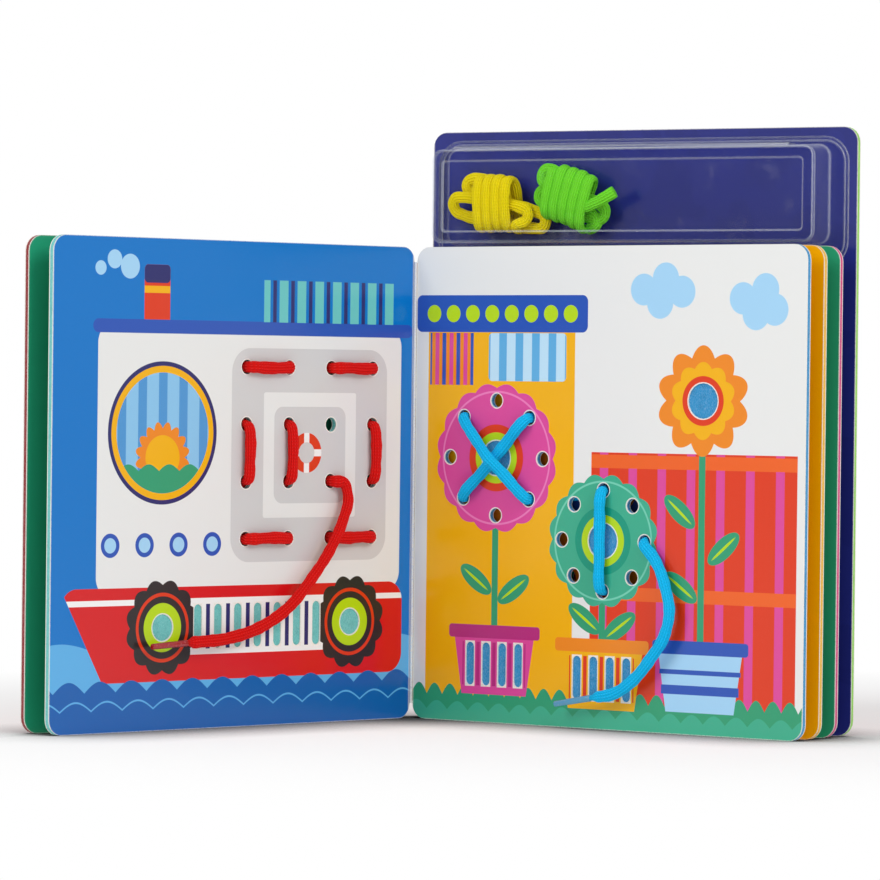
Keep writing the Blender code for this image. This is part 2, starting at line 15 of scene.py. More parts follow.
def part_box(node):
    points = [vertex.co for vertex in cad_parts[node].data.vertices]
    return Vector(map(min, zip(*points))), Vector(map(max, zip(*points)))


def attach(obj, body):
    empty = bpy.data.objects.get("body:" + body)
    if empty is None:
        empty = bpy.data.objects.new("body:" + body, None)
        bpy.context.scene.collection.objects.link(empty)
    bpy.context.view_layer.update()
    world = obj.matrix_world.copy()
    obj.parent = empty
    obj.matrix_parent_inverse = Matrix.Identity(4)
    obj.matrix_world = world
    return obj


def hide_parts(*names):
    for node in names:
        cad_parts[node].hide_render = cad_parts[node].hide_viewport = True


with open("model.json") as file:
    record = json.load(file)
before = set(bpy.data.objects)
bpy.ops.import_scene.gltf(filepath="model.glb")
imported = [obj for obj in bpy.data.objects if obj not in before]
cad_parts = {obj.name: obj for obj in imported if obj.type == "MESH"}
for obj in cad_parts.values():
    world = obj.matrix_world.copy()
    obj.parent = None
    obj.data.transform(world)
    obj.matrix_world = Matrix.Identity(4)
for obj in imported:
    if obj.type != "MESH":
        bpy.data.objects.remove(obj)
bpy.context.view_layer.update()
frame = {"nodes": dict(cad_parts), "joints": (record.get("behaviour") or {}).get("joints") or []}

mm = 0.001

# %% [markdown]
# ## The camera
# A long lens far away keeps the boards' edges almost parallel, as in a catalogue picture. Its place, turn
# and slight roll came from fitting the page corners and the lacing grid.

# %% Set the camera
camera_place = Vector((1053.3, -2094.3, 157.5)) * mm
camera_turn, camera_pitch, camera_roll = radians(28.93), radians(-0.66), radians(0.66)


def new_object(name, data):
    made = bpy.data.objects.new(name, data)
    bpy.context.scene.collection.objects.link(made)
    return made


camera = new_object("camera", bpy.data.cameras.new("camera"))
camera.data.lens, camera.data.sensor_width, camera.data.sensor_fit = 208.6, 36.0, "HORIZONTAL"
turned = Matrix.Rotation(camera_turn, 4, "Z") @ Matrix.Rotation(pi / 2 + camera_pitch, 4, "X")
camera.matrix_world = Matrix.Translation(camera_place) @ turned @ Matrix.Rotation(camera_roll, 4, "Z")
bpy.context.scene.camera = camera

# %% [markdown]
# ## The boards' own axes
# Each board is flat and turns on a fold. Its own axes run out from the fold, towards the back cover, and
# up. The fold's place is the joint's, and the board's turn is the direction of its largest face, so both
# come from the frame and no angle is typed again.

# %% Find where each board stands
joint_of = {joint["child"]: joint for joint in frame["joints"]}
upright = Vector((0, 0, 1))


def board_axes(body, node):
    mesh = frame["nodes"][node].data
    normal = max(mesh.polygons, key=lambda face: face.area).normal
    fold = Vector(joint_of.get(body, joint_of["leaf_4"])["pos_m"])
    low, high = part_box(node)
    out = normal.cross(upright).normalized()
    if out.dot((low + high) / 2 - fold) < 0:
        out = -out
    axes = Matrix.Identity(4)
    for column, axis in enumerate((out, upright.cross(out), upright, Vector((fold.x, fold.y, 0)))):
        axes.col[column][:3] = axis
    return axes


bodies = ("back_cover", "leaf_4", "leaf_3", "leaf_2", "leaf_1", "front_cover")
axes = {body: board_axes(body, body + "_felt_core") for body in bodies}
for body in bodies:
    print(body, "is turned", round(atan2(-axes[body][1][0], axes[body][0][0]) * 360 / tau, 1), "degrees")

# %% Repeat the boards' sizes from the source, in the boards' own axes
corner_radius = 7.0 * mm
near_face, board_thickness = 0.6 * mm, 3.0 * mm
far_face = near_face + board_thickness
hole_diameter = 6.6 * mm

# %% [markdown]
# ## Light and floor
# A plain studio: an even white world and two large soft lamps of about equal power, on the left and on the
# right. The paper under a catalogue picture is white, so what the camera and glossy rays see of the world
# is white too. The floor mixes a little glow into its white paint, so that only the soft shadow close to
# the book is left, and a painted shadow darkens it where the book's foot hides most of the room from it.

# %% A way to write shader sums
def operator(operation, swapped=False):
    """An operator between two values, worked out by a Math node."""
    def work_out(self, other):
        return self.finish.node("ShaderNodeMath", {"operation": operation},
                                (other, self) if swapped else (self, other))
    return work_out


class Field:
    """A socket's value. Sums on it add the Math nodes that work them out; & is the lesser and | the greater."""

    def __init__(self, finish, socket):
        self.finish, self.socket = finish, socket

    __add__ = __radd__ = operator("ADD")
    __sub__, __rsub__ = operator("SUBTRACT"), operator("SUBTRACT", True)
    __mul__ = __rmul__ = operator("MULTIPLY")
    __mod__, __and__, __or__ = operator("FLOORED_MODULO"), operator("MINIMUM"), operator("MAXIMUM")

    def math(self, operation, *values):
        return self.finish.node("ShaderNodeMath", {"operation": operation}, values)

    def __abs__(self):
        return self.math("ABSOLUTE", self)

    def sin(self):
        return self.math("SINE", self)

    def ramp(self, start, end):
        """0 up to start, 1 from end on, and a straight line between."""
        slope = 1 / (end - start)
        return self.finish.node("ShaderNodeMath", {"operation": "MULTIPLY_ADD", "use_clamp": True},
                                (self, slope, -start * slope))


class Finish:
    """A material or world, and one method that adds any node to it."""

    def __init__(self, name, block=None):
        self.block = block or bpy.data.materials.new(name)
        self.block.use_nodes = True
        self.tree = self.block.node_tree
        self.tree.nodes.clear()

    def node(self, kind, settings=None, inputs=(), output=0):
        made = self.tree.nodes.new(kind)
        for setting, value in (settings or {}).items():
            setattr(made, setting, value)
        for socket, value in (inputs.items() if isinstance(inputs, dict) else enumerate(inputs)):
            if isinstance(value, Field):
                self.tree.links.new(value.socket, made.inputs[socket])
            else:
                made.inputs[socket].default_value = value
        return Field(self, made.outputs[output])

    def place(self):
        """Where a point is on its own object, in metres."""
        return self.node("ShaderNodeTexCoord", output="Object")

    def parts(self, vector):
        return [self.node("ShaderNodeSeparateXYZ", None, (vector,), output=k) for k in range(3)]

    def ray(self, kind):
        """1 for rays of one kind."""
        return self.node("ShaderNodeLightPath", output=f"Is {kind} Ray")

    def blend(self, under, over, share):
        """Two shaders mixed."""
        return self.node("ShaderNodeMixShader", None, (share, under, over))

    def mix(self, under, over, share):
        """Two colours mixed."""
        return self.node("ShaderNodeMix", {"data_type": "RGBA"}, {0: share, 6: under, 7: over}, output=2)

    def noise(self, place, scale, detail=3.0, roughness=0.5):
        return self.node("ShaderNodeTexNoise", None, {"Vector": place, "Scale": scale, "Detail": detail,
                                                      "Roughness": roughness})

    def bump(self, height, distance, strength=1.0):
        return self.node("ShaderNodeBump", None, {"Height": height, "Distance": distance, "Strength": strength})

    def shader(self, **sockets):
        named = {name.replace("_", " "): value for name, value in sockets.items()}
        return self.node("ShaderNodeBsdfPrincipled", None, named)

    def paint(self, **sockets):
        return self.show(self.shader(**sockets))

    def show(self, surface):
        kind = "World" if isinstance(self.block, bpy.types.World) else "Material"
        target = self.tree.nodes.new("ShaderNodeOutput" + kind)
        self.tree.links.new(surface.socket, target.inputs["Surface"])
        return self.block


pure_white, pure_black = (1, 1, 1, 1), (0, 0, 0, 1)


def colour(code):
    """A colour as it looks on a screen, given as in a paint program, turned to Blender's linear light."""
    parts = [int(code[k:k + 2], 16) / 255 for k in (0, 2, 4)]
    return (*[part / 12.92 if part <= 0.04045 else ((part + 0.055) / 1.055) ** 2.4 for part in parts], 1.0)


def coat(piece, material):
    piece.data.materials.clear()
    piece.data.materials.append(material)


# %% Light the studio
world_strength = 0.5
lamp_distance, lamp_size = 1.9, 0.8
book_middle = Vector((-60.0, -90.0, 110.0)) * mm
world = Finish("studio", bpy.data.worlds.new("studio"))
bpy.context.scene.world = world.block
seen_white = world.ray("Camera") | world.ray("Transmission") | world.ray("Glossy") * 0.5
strength = seen_white * (1 - world_strength) + world_strength
world.show(world.node("ShaderNodeBackground", None, {"Color": pure_white, "Strength": strength}))


def add_lamp(name, direction, watts):
    lamp = bpy.data.lights.new(name, "AREA")
    lamp.shape, lamp.size, lamp.energy = "SQUARE", lamp_size, watts
    holder = new_object(name, lamp)
    away = Vector(direction).normalized()
    holder.location = book_middle + away * lamp_distance
    holder.rotation_euler = (-away).to_track_quat("-Z", "Y").to_euler()


add_lamp("left_lamp", (-0.75, -1.35, 1.15), 12.5)
add_lamp("right_lamp", (1.45, -0.55, 1.05), 13.0)

# %% Lay the floor
floor_reach, floor_drop = 4.0, 0.05 * mm
glow_starts, glow_full, least_glow = 0.22, 0.5, 0.25
contact_reach, contact_strength = 60 * mm, 1.5
bpy.ops.object.select_all(action="DESELECT")
bpy.ops.mesh.primitive_plane_add(size=2 * floor_reach, location=(0, 0, -floor_drop))
floor = bpy.context.object
floor.name = "floor"
paper = Finish("floor_paper")
away = paper.node("ShaderNodeVectorMath", {"operation": "LENGTH"}, (paper.place(),), output=1)
floor_glow = away.ramp(glow_starts, glow_full) * (1 - least_glow) + least_glow
# A painted shadow: near the book's foot, what the camera sees of the floor is mixed towards near black.
open_sky = paper.node("ShaderNodeAmbientOcclusion", {"samples": 8}, {"Distance": contact_reach}, output="AO")
contact_shade = (1 - open_sky) * contact_strength
white_paint = paper.node("ShaderNodeBsdfDiffuse", None, {"Color": pure_white})
white_glow = paper.node("ShaderNodeEmission", None, {"Color": pure_white, "Strength": 1.0})
painted_contact_shadow = paper.node("ShaderNodeBsdfDiffuse", None, {"Color": (0.02, 0.02, 0.02, 1)})
camera_ray = paper.ray("Camera")
lit_paper = paper.blend(white_paint, white_glow, floor_glow * camera_ray)
coat(floor, paper.show(paper.blend(lit_paper, painted_contact_shadow, contact_shade * camera_ray)))

# %% [markdown]
# ## Printing a page
# A page is card with a picture printed on one side and a clear gloss over it. Instead of a picture file,
# each shape of the print is a mask worked out from the page's own millimetres, and ink is laid over ink, as
# a printer does. The card's cut edges and the walls of its holes stay paper white, because the ink is only
# on the face.

# %% A page that can be printed on
print_edge = 0.14
rim_width = 0.45
gloss_roughness = 0.2
paper_white = colour("F7F5EE")


class Page(Finish):
    """The printed face of one card. Places and sizes are in millimetres: out from the fold, then up."""

    def __init__(self, name, body, face, ground, facing):
        super().__init__(name)
        turn = atan2(axes[body][1][0], axes[body][0][0])
        self.grain = self.seen_from(self.place(), axes[body].translation, turn, (mm, mm, mm))
        self.out, across, self.up = self.parts(self.grain)
        self.spot = self.node("ShaderNodeCombineXYZ", None, (self.out, self.up, 0.0))
        self.depth = (across - face / mm) * facing
        self.ink = ground
        self.rims = []

    def seen_from(self, vector, place, turn, scale):
        """A vector counted from a place, in axes turned about the third one and stretched."""
        return self.node("ShaderNodeMapping", {"vector_type": "TEXTURE"},
                         {"Vector": vector, "Location": place, "Rotation": (0, 0, turn), "Scale": scale})

    def lay(self, ink, mask):
        self.ink = self.mix(self.ink, colour(ink), mask)

    def boxes(self, *rows):
        """Rounded rectangles, one over another: the ink, middle, size and corner of each."""
        for ink, *shape in rows:
            self.lay(ink, self.box(*shape))

    def discs(self, *rows):
        """Discs, one over another: the ink, middle and radius of each."""
        for ink, *shape in rows:
            self.lay(ink, self.disc(*shape))

    def vector(self, operation, *values, output=0):
        return self.node("ShaderNodeVectorMath", {"operation": operation}, values, output)

    def length(self, vector):
        return self.vector("LENGTH", vector, output=1)

    def offset(self, middle):
        return self.vector("SUBTRACT", self.spot, (*middle, 0))

    def away(self, middle):
        """The distance from a place."""
        return self.vector("DISTANCE", self.spot, (*middle, 0), output=1)

    def within(self, distance, reach):
        """1 where a distance is under reach, with a crisp edge."""
        return distance.ramp(reach + print_edge / 2, reach - print_edge / 2)

    def disc(self, middle, radius):
        return self.within(self.away(middle), radius)

    def ring(self, middle, radius, width):
        return self.within(abs(self.away(middle) - radius), width / 2)

    def past_box(self, middle, size, corner):
        """The distance from a rounded rectangle, and below its corner radius inside it."""
        past = self.vector("SUBTRACT", self.vector("ABSOLUTE", self.offset(middle)),
                           (size[0] / 2 - corner, size[1] / 2 - corner, 1))
        return self.length(self.vector("MAXIMUM", past, (0, 0, 0)))

    def box(self, middle, size, corner=0.0):
        return self.within(self.past_box(middle, size, corner), corner + print_edge / 2)

    def leaf_shape(self, middle, length, width, turn):
        """An ellipse, turned in degrees."""
        inside = self.seen_from(self.spot, (*middle, 0), radians(turn), (length / 2, width / 2, 1))
        edge = print_edge / width
        return self.length(inside).ramp(1 + edge, 1 - edge)

    def turn_about(self, middle):
        """The direction from a place, in radians."""
        across, up, _ = self.parts(self.offset(middle))
        return across.math("ARCTAN2", up, across)

    def petals(self, middle, radius, count, depth):
        """A round shape with a scalloped edge."""
        edge = abs((self.turn_about(middle) * (count / 2)).sin()) * depth
        return self.within(self.away(middle) - edge, radius - depth)

    def spokes(self, middle, count, width):
        """Rays from a place, width of them in each gap's share of 1."""
        turn = (self.turn_about(middle) * (count / tau)) % 1.0
        return self.within(abs(turn - 0.5) * 20.0, width * 10.0)

    def crest(self, depth, length, first):
        return abs((self.out * (pi / length) + first).sin()) * depth

    def waves(self, height, depth, length, first=0.0):
        """Everything under a row of scallops."""
        return self.within(self.up - self.crest(depth, length, first), height - depth)

    def wave_line(self, height, depth, length, width):
        """A line of scallops."""
        crest = self.crest(depth, length, 0.7) + (height - depth)
        return self.within(abs(self.up - crest), width / 2)

    def stripes(self, along, first, pitch, width):
        """Bars across along, the middle of one of them at first."""
        place = (along - (first - pitch / 2)) % pitch
        return self.within(abs(place - pitch / 2), width / 2)

    def grid_dots(self, first, pitch, radius):
        """A dot at every place of a square grid."""
        moved = self.vector("ADD", self.spot, (4.5 * pitch - first[0], 4.5 * pitch - first[1], 0))
        cell = self.vector("MODULO", moved, (pitch, pitch, 1))
        nearest = self.vector("SUBTRACT", cell, (pitch / 2, pitch / 2, 0))
        return self.within(self.length(nearest), radius)

    def cut_round(self, middle, radius):
        """The paper rim round one die-cut circle."""
        self.rims.append(self.within(self.away(middle), radius + rim_width))

    def cut_ring(self, middle, ring_radius, count, radius):
        """The paper rims round a ring of holes. All are one hole, once the turn is counted from the nearest."""
        step = tau / count
        turn = (self.turn_about(middle) + step / 2) % step - step / 2
        reach = self.away(middle)
        along = reach * turn.math("COSINE", turn) - ring_radius
        across = reach * turn.sin()
        squares = along * along + across * across
        self.rims.append(self.within(squares.math("SQRT", squares), radius + rim_width))

    def cut_slots(self, middle, pitch, count, size):
        """The paper rims round a row of slots."""
        first = middle[0] - pitch * (count - 1) / 2
        rim = self.stripes(self.out, first, pitch, size[0] + 2 * rim_width)
        self.rims.append(rim & self.box(middle, (pitch * count, size[1] + 2 * rim_width)))

    def finished(self, outline):
        """Ink on the face, paper on the edges and rims, a worn outline, and a slight wave in the gloss."""
        width, height = outline
        speck = self.noise(self.grain, 1.6, 4.0, 0.6)
        fibre = self.noise(self.grain, 0.25, 2.0)
        corner = corner_radius / mm
        outer = self.past_box((width / 2, height / 2), outline, corner)
        worn = outer.ramp(corner - 0.4, corner - 0.05) * speck.ramp(0.30, 0.55)
        crease = self.out.ramp(1.3, 0.5) * (speck.ramp(0.3, 0.6) * 0.5 + 0.5)
        bare = self.depth.ramp(0.05, 0.12) | worn * 0.7 | crease
        for rim in self.rims:
            bare = bare | rim * 0.92
        edge_paper = self.mix(paper_white, colour("DDD8CB"), speck.ramp(0.45, 0.75))
        ink = self.mix(self.ink, pure_white, speck.ramp(0.62, 0.9) * 0.05)
        return self.paint(Base_Color=self.mix(ink, edge_paper, bare), IOR=1.45,
                          Roughness=bare * 0.5 + gloss_roughness, Normal=self.bump(fibre, 0.9 * mm, 0.04))


# %% [markdown]
# ## The pictures
# The pictures are simple shapes in flat inks: a paddle boat on the left page, and pots of flowers on the
# right one. Both are built round the lacing holes and the die-cut windows, in which the felt core shows.
# Shapes are laid from the back to the front, as one would glue cut paper, and every die-cut edge gets a
# thin rim of bare paper.

# %% The names of the inks
sea_blue, deep_blue, pale_blue, sky_blue = "0076C8", "0B5FAE", "A5D5F5", "5FB2E8"
page_white, panel_grey, bright_white = "EAEBE9", "D3D3D3", "F6F6F4"
navy, royal_blue = "2A2A6A", "2B55B5"
teal, pale_teal, lime, leaf_green = "3DAE8C", "6CC7C4", "B9DC12", "2F9E72"
red, red_orange, pink, deep_pink = "D8151A", "E03A12", "DE4A9C", "B82E7E"
yellow, orange, black = "F5B400", "F08A1D", "2B2727"

# %% Where the holes and windows are, as the source has them
grid_pitch, grid_first = 26.0, (26.0, 85.0)
grid_middle = tuple(start + 1.5 * grid_pitch for start in grid_first)
hole_radius = hole_diameter / 2 / mm
large_flower, small_flower, third_flower = (47.8, 122.4), (108.8, 85.8), (163.0, 150.0)
large_ring_radius, small_ring_radius, ring_count = 26.5, 23.0, 8
eye_radius = 8.0
slot_size, slot_pitch = (4.6, 20.0), 9.2
hull_row, hull_slot_pitch, hull_slots = (96.0, 46.0), 12.0, 7
porthole_reach, porthole_radius = 57.0, 6.0
wheels = [(hull_row[0] + way * porthole_reach, hull_row[1]) for way in (-1, 1)]
large_pot, small_pot, plain_pot = (large_flower[0], 27.0), (small_flower[0], 23.0), (third_flower[0], 24.0)


# %% Print the paddle boat
def print_boat(page):
    page.lay(sky_blue, page.waves(40, 4, 40, 0.6))
    page.discs((pale_blue, (174, 207), 5.5), (pale_blue, (183, 210), 4.2), (pale_blue, (191, 206), 3.2))
    page.boxes((red_orange, (158, 194), (15, 28), 2), (navy, (158, 204), (15, 8), 2),
               (yellow, (158, 197), (15, 3)), (page_white, (100, 121), (184, 122), 9),
               (royal_blue, (98, 180.5), (194, 6), 3))
    deck = page.box((53, 193), (82, 19))
    page.lay(pale_teal, deck & page.stripes(page.out, 16, 11, 5.4))
    page.lay(navy, deck & page.stripes(page.out, 21.5, 11, 2.2))
    panel = (grid_middle[0], grid_middle[1] - 1)
    page.boxes((panel_grey, panel, (96, 97), 11), (page_white, panel, (57, 57), 1),
               (panel_grey, panel, (44, 44), 5))
    buoy = page.ring((67, 124), 7.0, 4.4)
    page.lay(red_orange, buoy)
    bands = page.stripes(page.out, 67, 30, 3.2) | page.stripes(page.up, 124, 30, 3.2)
    page.lay(bright_white, buoy & bands)
    cabin_window = (154, 133)
    page.discs((navy, cabin_window, 32), (yellow, cabin_window, 30), ("8CC6EC", cabin_window, 27))
    window = page.disc(cabin_window, 27)
    page.lay("4E97D3", window & page.stripes(page.out, 154, 12, 5))
    page.lay(orange, window & page.petals((154, 122), 16, 16, 3))
    page.lay(yellow, window & page.disc((154, 122), 10))
    page.lay(leaf_green, window & page.waves(119, 3, 12))
    for out in (124, 144, 164, 184):
        page.discs((royal_blue, (out, 83), 5.4), (pale_blue, (out, 83), 3.4))
    hull = page.box((109, 43), (206, 42), 9) & page.within(page.out - page.up * 0.57, 175.5)
    page.lay(red, hull)
    page.lay(bright_white, hull & page.box((109, 57.5), (220, 2.4)))
    page.lay(bright_white, page.box(hull_row, (88, 25), 4))
    gaps = page.stripes(page.out, hull_row[0] - hull_slot_pitch * 2.5, hull_slot_pitch, 2.4)
    page.lay(navy, gaps & page.box(hull_row, (72, 20)))
    for wheel in wheels:
        page.lay(black, page.petals(wheel, 21.5, 12, 2.4))
        page.lay(red_orange, page.ring(wheel, 14.8, 1.6))
        page.lay(lime, page.disc(wheel, 11.0))
        page.cut_round(wheel, porthole_radius)
    page.lay(deep_blue, page.waves(23, 5, 18))
    page.lay(sky_blue, page.wave_line(14, 4, 18, 0.8))
    page.cut_slots(hull_row, hull_slot_pitch, hull_slots, slot_size)
    lacing_holes = page.grid_dots(grid_first, grid_pitch, hole_radius + rim_width)
    page.rims.append(lacing_holes & page.box(grid_middle, (90, 90)))


# %% Print the flower pots
def print_garden(page):
    page.boxes((yellow, (50, 96), (84, 172)), (royal_blue, (50, 189), (98, 17), 3))
    page.discs(*[(lime, (11 + 11.2 * k, 189), 4.0) for k in range(8)])
    blind = page.box((21.5, 168), (25, 24))
    page.lay(orange, blind)
    page.lay(pink, blind & page.stripes(page.out, 13, 8.2, 2.2))
    page.lay(royal_blue, blind & page.stripes(page.out, 17, 8.2, 2.2))
    window = page.box((65, 169), (44, 22), 2)
    page.lay("BFE3F7", window)
    page.lay("5EAEE0", window & page.stripes(page.out, 51, 9.4, 4.4))
    fence = page.box((158, 68), (112, 116))
    page.lay(red_orange, fence)
    page.lay(pink, fence & page.stripes(page.out, 141, 16, 4.6))
    page.boxes(("F0641E", (158, 122), (112, 6)), ("F0641E", (158, 62), (112, 6)))
    page.lay(leaf_green, page.waves(17, 5, 9))
    page.lay(teal, page.waves(9, 4, 12, 0.8))
    for (out, top), foot in ((large_flower, 40), (small_flower, 36), (third_flower, 40)):
        page.lay(leaf_green, page.box((out, (top + foot) / 2), (3.4, top - foot), 1.5))
    for middle, turn in (((37, 66), -35), ((58.5, 62), 35), ((99, 50), -35), ((118.5, 47), 35),
                         ((151, 100), -40), ((175, 84), 40), ((152, 66), -35)):
        page.lay(leaf_green, page.leaf_shape(middle, 21, 9, turn))
        page.lay(lime, page.leaf_shape(middle, 16, 1.3, turn))
    for (out, middle), ink, rim in ((large_pot, pink, deep_pink), (small_pot, yellow, orange),
                                    (plain_pot, pale_blue, royal_blue)):
        taper = page.within(abs(page.out - out) - page.up * 0.16, 18.5 - (middle - 14) * 0.16)
        page.lay(ink, page.box((out, middle), (48, 28), 4) & taper)
        page.lay(rim, page.box((out, middle + 15), (52, 6), 1.5))
    for pot, ink in ((large_pot, deep_pink), (small_pot, red_orange)):
        page.lay(ink, page.box(pot, (36, 20)) & page.stripes(page.out, pot[0], slot_pitch, 2.0))
        page.cut_slots(pot, slot_pitch, 4, slot_size)
    page.boxes((royal_blue, (163, 20), (42, 4)), (royal_blue, (163, 28), (44, 2)))
    for middle, radius, inks in ((large_flower, 34.5, (pink, "EE7FBE", red_orange, lime)),
                                 (small_flower, 30.4, (teal, "74D0B4", "159A7C", lime))):
        page.lay(inks[0], page.petals(middle, radius, 16, 2.2))
        page.lay(inks[1], page.ring(middle, radius * 0.885, 0.9))
        page.discs((inks[2], middle, 15.5), (inks[3], middle, 11.8))
    page.lay(orange, page.petals(third_flower, 25, 10, 5.0))
    page.lay(yellow, page.petals(third_flower, 17.5, 10, 2.5))
    page.discs((red_orange, third_flower, 11.2))
    puffs = ((130, 200), (142, 205), (139, 194), (151, 199), (184, 196), (196, 200), (191, 189), (201, 191))
    page.discs(*[(pale_blue, puff, 7.2) for puff in puffs])
    page.cut_ring(large_flower, large_ring_radius, ring_count, hole_radius)
    page.cut_ring(small_flower, small_ring_radius, ring_count, hole_radius)
    for middle in (large_flower, small_flower, third_flower):
        page.cut_round(middle, eye_radius)


# %% Print the pages that lie hidden, and the covers
page_middle = (109, 110)


def print_motif(page, ring_ink, dot_ink, core_ink):
    page.lay(dot_ink, page.grid_dots((7, 7), 14, 2.1) & page.box(page_middle, (208, 210), 6))
    page.lay(ring_ink, page.petals(page_middle, 72, 24, 4))
    page.lay(dot_ink, page.ring(page_middle, 60, 1.6))
    page.lay(core_ink, page.petals(page_middle, 34, 12, 4))
    page.discs((ring_ink, page_middle, 12))


def print_cover(page, height):
    stripes = page.stripes(page.up, 0, 22, 11)
    page.lay(red_orange, stripes & page.box((109, height / 2), (190, height - 28), 6))
    page.lay(yellow, page.petals(page_middle, 62, 16, 7))
    page.lay(orange, page.ring(page_middle, 46, 3))
    page.discs((royal_blue, page_middle, 40))
    page.lay(bright_white, page.ring(page_middle, 33, 2) & page.spokes(page_middle, 40, 0.5))
    page.lay(pink, page.petals(page_middle, 24, 10, 5))
    page.discs((lime, page_middle, 9))


def print_plain(page):
    """A plain ink is never quite even."""
    page.lay("2A3288", page.within(page.noise(page.grain, 0.03, 2.0) * 20.0, 10.0) * 0.25)


# %% Give every card its print
page_size, back_size = (218.0, 220.0), (218.0, 274.0)
cover_navy, cover_green, cover_red = "232A78", "2BA57D", "C3262A"
cards = (("leaf_1", "verso_card", sea_blue, print_boat),
         ("leaf_2", "recto_card", page_white, print_garden),
         ("leaf_1", "recto_card", cover_green, print_motif, "1E8A66", "5CC4A4", yellow),
         ("leaf_2", "verso_card", yellow, print_motif, red_orange, "FFD24A", teal),
         ("leaf_3", "recto_card", yellow, print_motif, orange, "FFD24A", royal_blue),
         ("leaf_3", "verso_card", leaf_green, print_motif, teal, lime, pink),
         ("leaf_4", "recto_card", leaf_green, print_motif, "5CC4A4", lime, orange),
         ("leaf_4", "verso_card", cover_navy, print_motif, royal_blue, "4A4FA8", lime),
         ("back_cover", "inner_card", cover_navy, print_plain),
         ("back_cover", "outer_card", cover_red, print_cover, back_size[1]),
         ("front_cover", "inner_card", cover_green, print_motif, "1E8A66", "5CC4A4", orange),
         ("front_cover", "outer_card", cover_red, print_cover, page_size[1]))
for body, layer, ground, picture, *choices in cards:
    # The back cover lies behind the fold that it is counted from, and every other board before its own.
    behind, size = (1, back_size) if body == "back_cover" else (-1, page_size)
    inner = layer in ("inner_card", "verso_card")
    page = Page(f"{body}_{layer}_print", body, behind * (near_face if inner else far_face), colour(ground),
                behind if inner else -behind)
    picture(page, *choices)
    coat(frame["nodes"][f"{body}_{layer}"], page.finished(size))
print("printed", len(cards), "cards")

# %% [markdown]
# ## Felt cores
# Between the two cards of a board lies a sheet of dyed felt. It shows at the board's edge, in the walls of
# the lacing holes and in the die-cut windows. Its shape is the CAD's, so a copy of that solid only has its
# doubled corner points merged. The softness comes from the finish: coarse clumps, fine fibres and a soft
# sheen.

# %% A felt finish
def felt(name, code):
    finish = Finish(name)
    here = finish.place()
    stretched = finish.node("ShaderNodeMapping", None, {"Vector": here, "Scale": (1.0, 1.0, 0.45)})
    clump = finish.noise(here, 260.0, 3.0)
    fibre = finish.noise(stretched, 2600.0, 4.0, 0.7)
    tone = finish.mix(colour(code), pure_white, fibre.ramp(0.5, 0.85) * 0.35)
    tone = finish.mix(tone, pure_black, fibre.ramp(0.48, 0.2) * 0.35 + clump.ramp(0.5, 0.3) * 0.12)
    height = fibre * 0.7 + clump * 0.3
    return finish.paint(Base_Color=tone, Roughness=0.95, Sheen_Weight=0.35, Sheen_Roughness=0.5,
                        Specular_IOR_Level=0.15, Normal=finish.bump(height, 0.5 * mm, 0.7))


# %% Lay the felt between the cards
def stand_for(piece, node, body, material):
    """Puts a finished piece in a CAD node's place."""
    coat(piece, material)
    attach(piece, body)
    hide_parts(node)


felt_colours = {"back_cover": ("lime", "8ED83F"), "leaf_4": ("pink", "D9247A"), "leaf_3": ("yellow", "F5B81F"),
                "leaf_2": ("blue", "2A93CC"), "leaf_1": ("teal", "6CC7C4"), "front_cover": ("red", "8E0408")}
for body, (shade, code) in felt_colours.items():
    source = frame["nodes"][body + "_felt_core"]
    core = new_object(body + "_felt", source.data.copy())
    bpy.ops.object.select_all(action="DESELECT")
    core.select_set(True)
    bpy.context.view_layer.objects.active = core
    bpy.ops.object.mode_set(mode="EDIT")
    bpy.ops.mesh.select_all(action="SELECT")
    bpy.ops.mesh.remove_doubles(threshold=0.002 * mm)
    bpy.ops.object.mode_set(mode="OBJECT")
    stand_for(core, body + "_felt_core", body, felt(shade + "_felt_finish", code))
print("felt cores:", len(felt_colours))

# %% [markdown]
# ## Laces
# A lace is a soft tube of ribbed knit, about as thick as a shoelace. A plain curve with a round bevel would
# be quicker, but it could not be squeezed where a page presses it, nor narrow towards its tip. So a smooth
# curve goes through the route's points, and an oval section with twelve ribs is lofted along it. The UV map
# runs round the lace and along it in millimetres, so that the knit follows every bend.

# %% The lace's sizes
lace_width, lace_shown, lace_pressed = 5.6 * mm, 4.2 * mm, 1.7 * mm
lace_gap, lace_turn, lace_rise = 0.15 * mm, 2.3 * mm, 0.5 * mm
hole_lace_width, hole_lace_thickness = 4.9 * mm, 3.6 * mm
lace_end = 2.5 * mm
lace_ribs, rib_steps, rib_depth = 12, 4, 0.10
ring_spacing = 0.85 * mm
ripples = ((0.035, 0.47), (0.025, 1.13))
stitch_shares = (0.32, 0.5, 0.68)
longest_arch = 30 * mm
stitch_lean, stitch_play = 0.35 * mm, 0.05
taper_reach = 4.5 * mm
layer_middle = board_thickness / 2


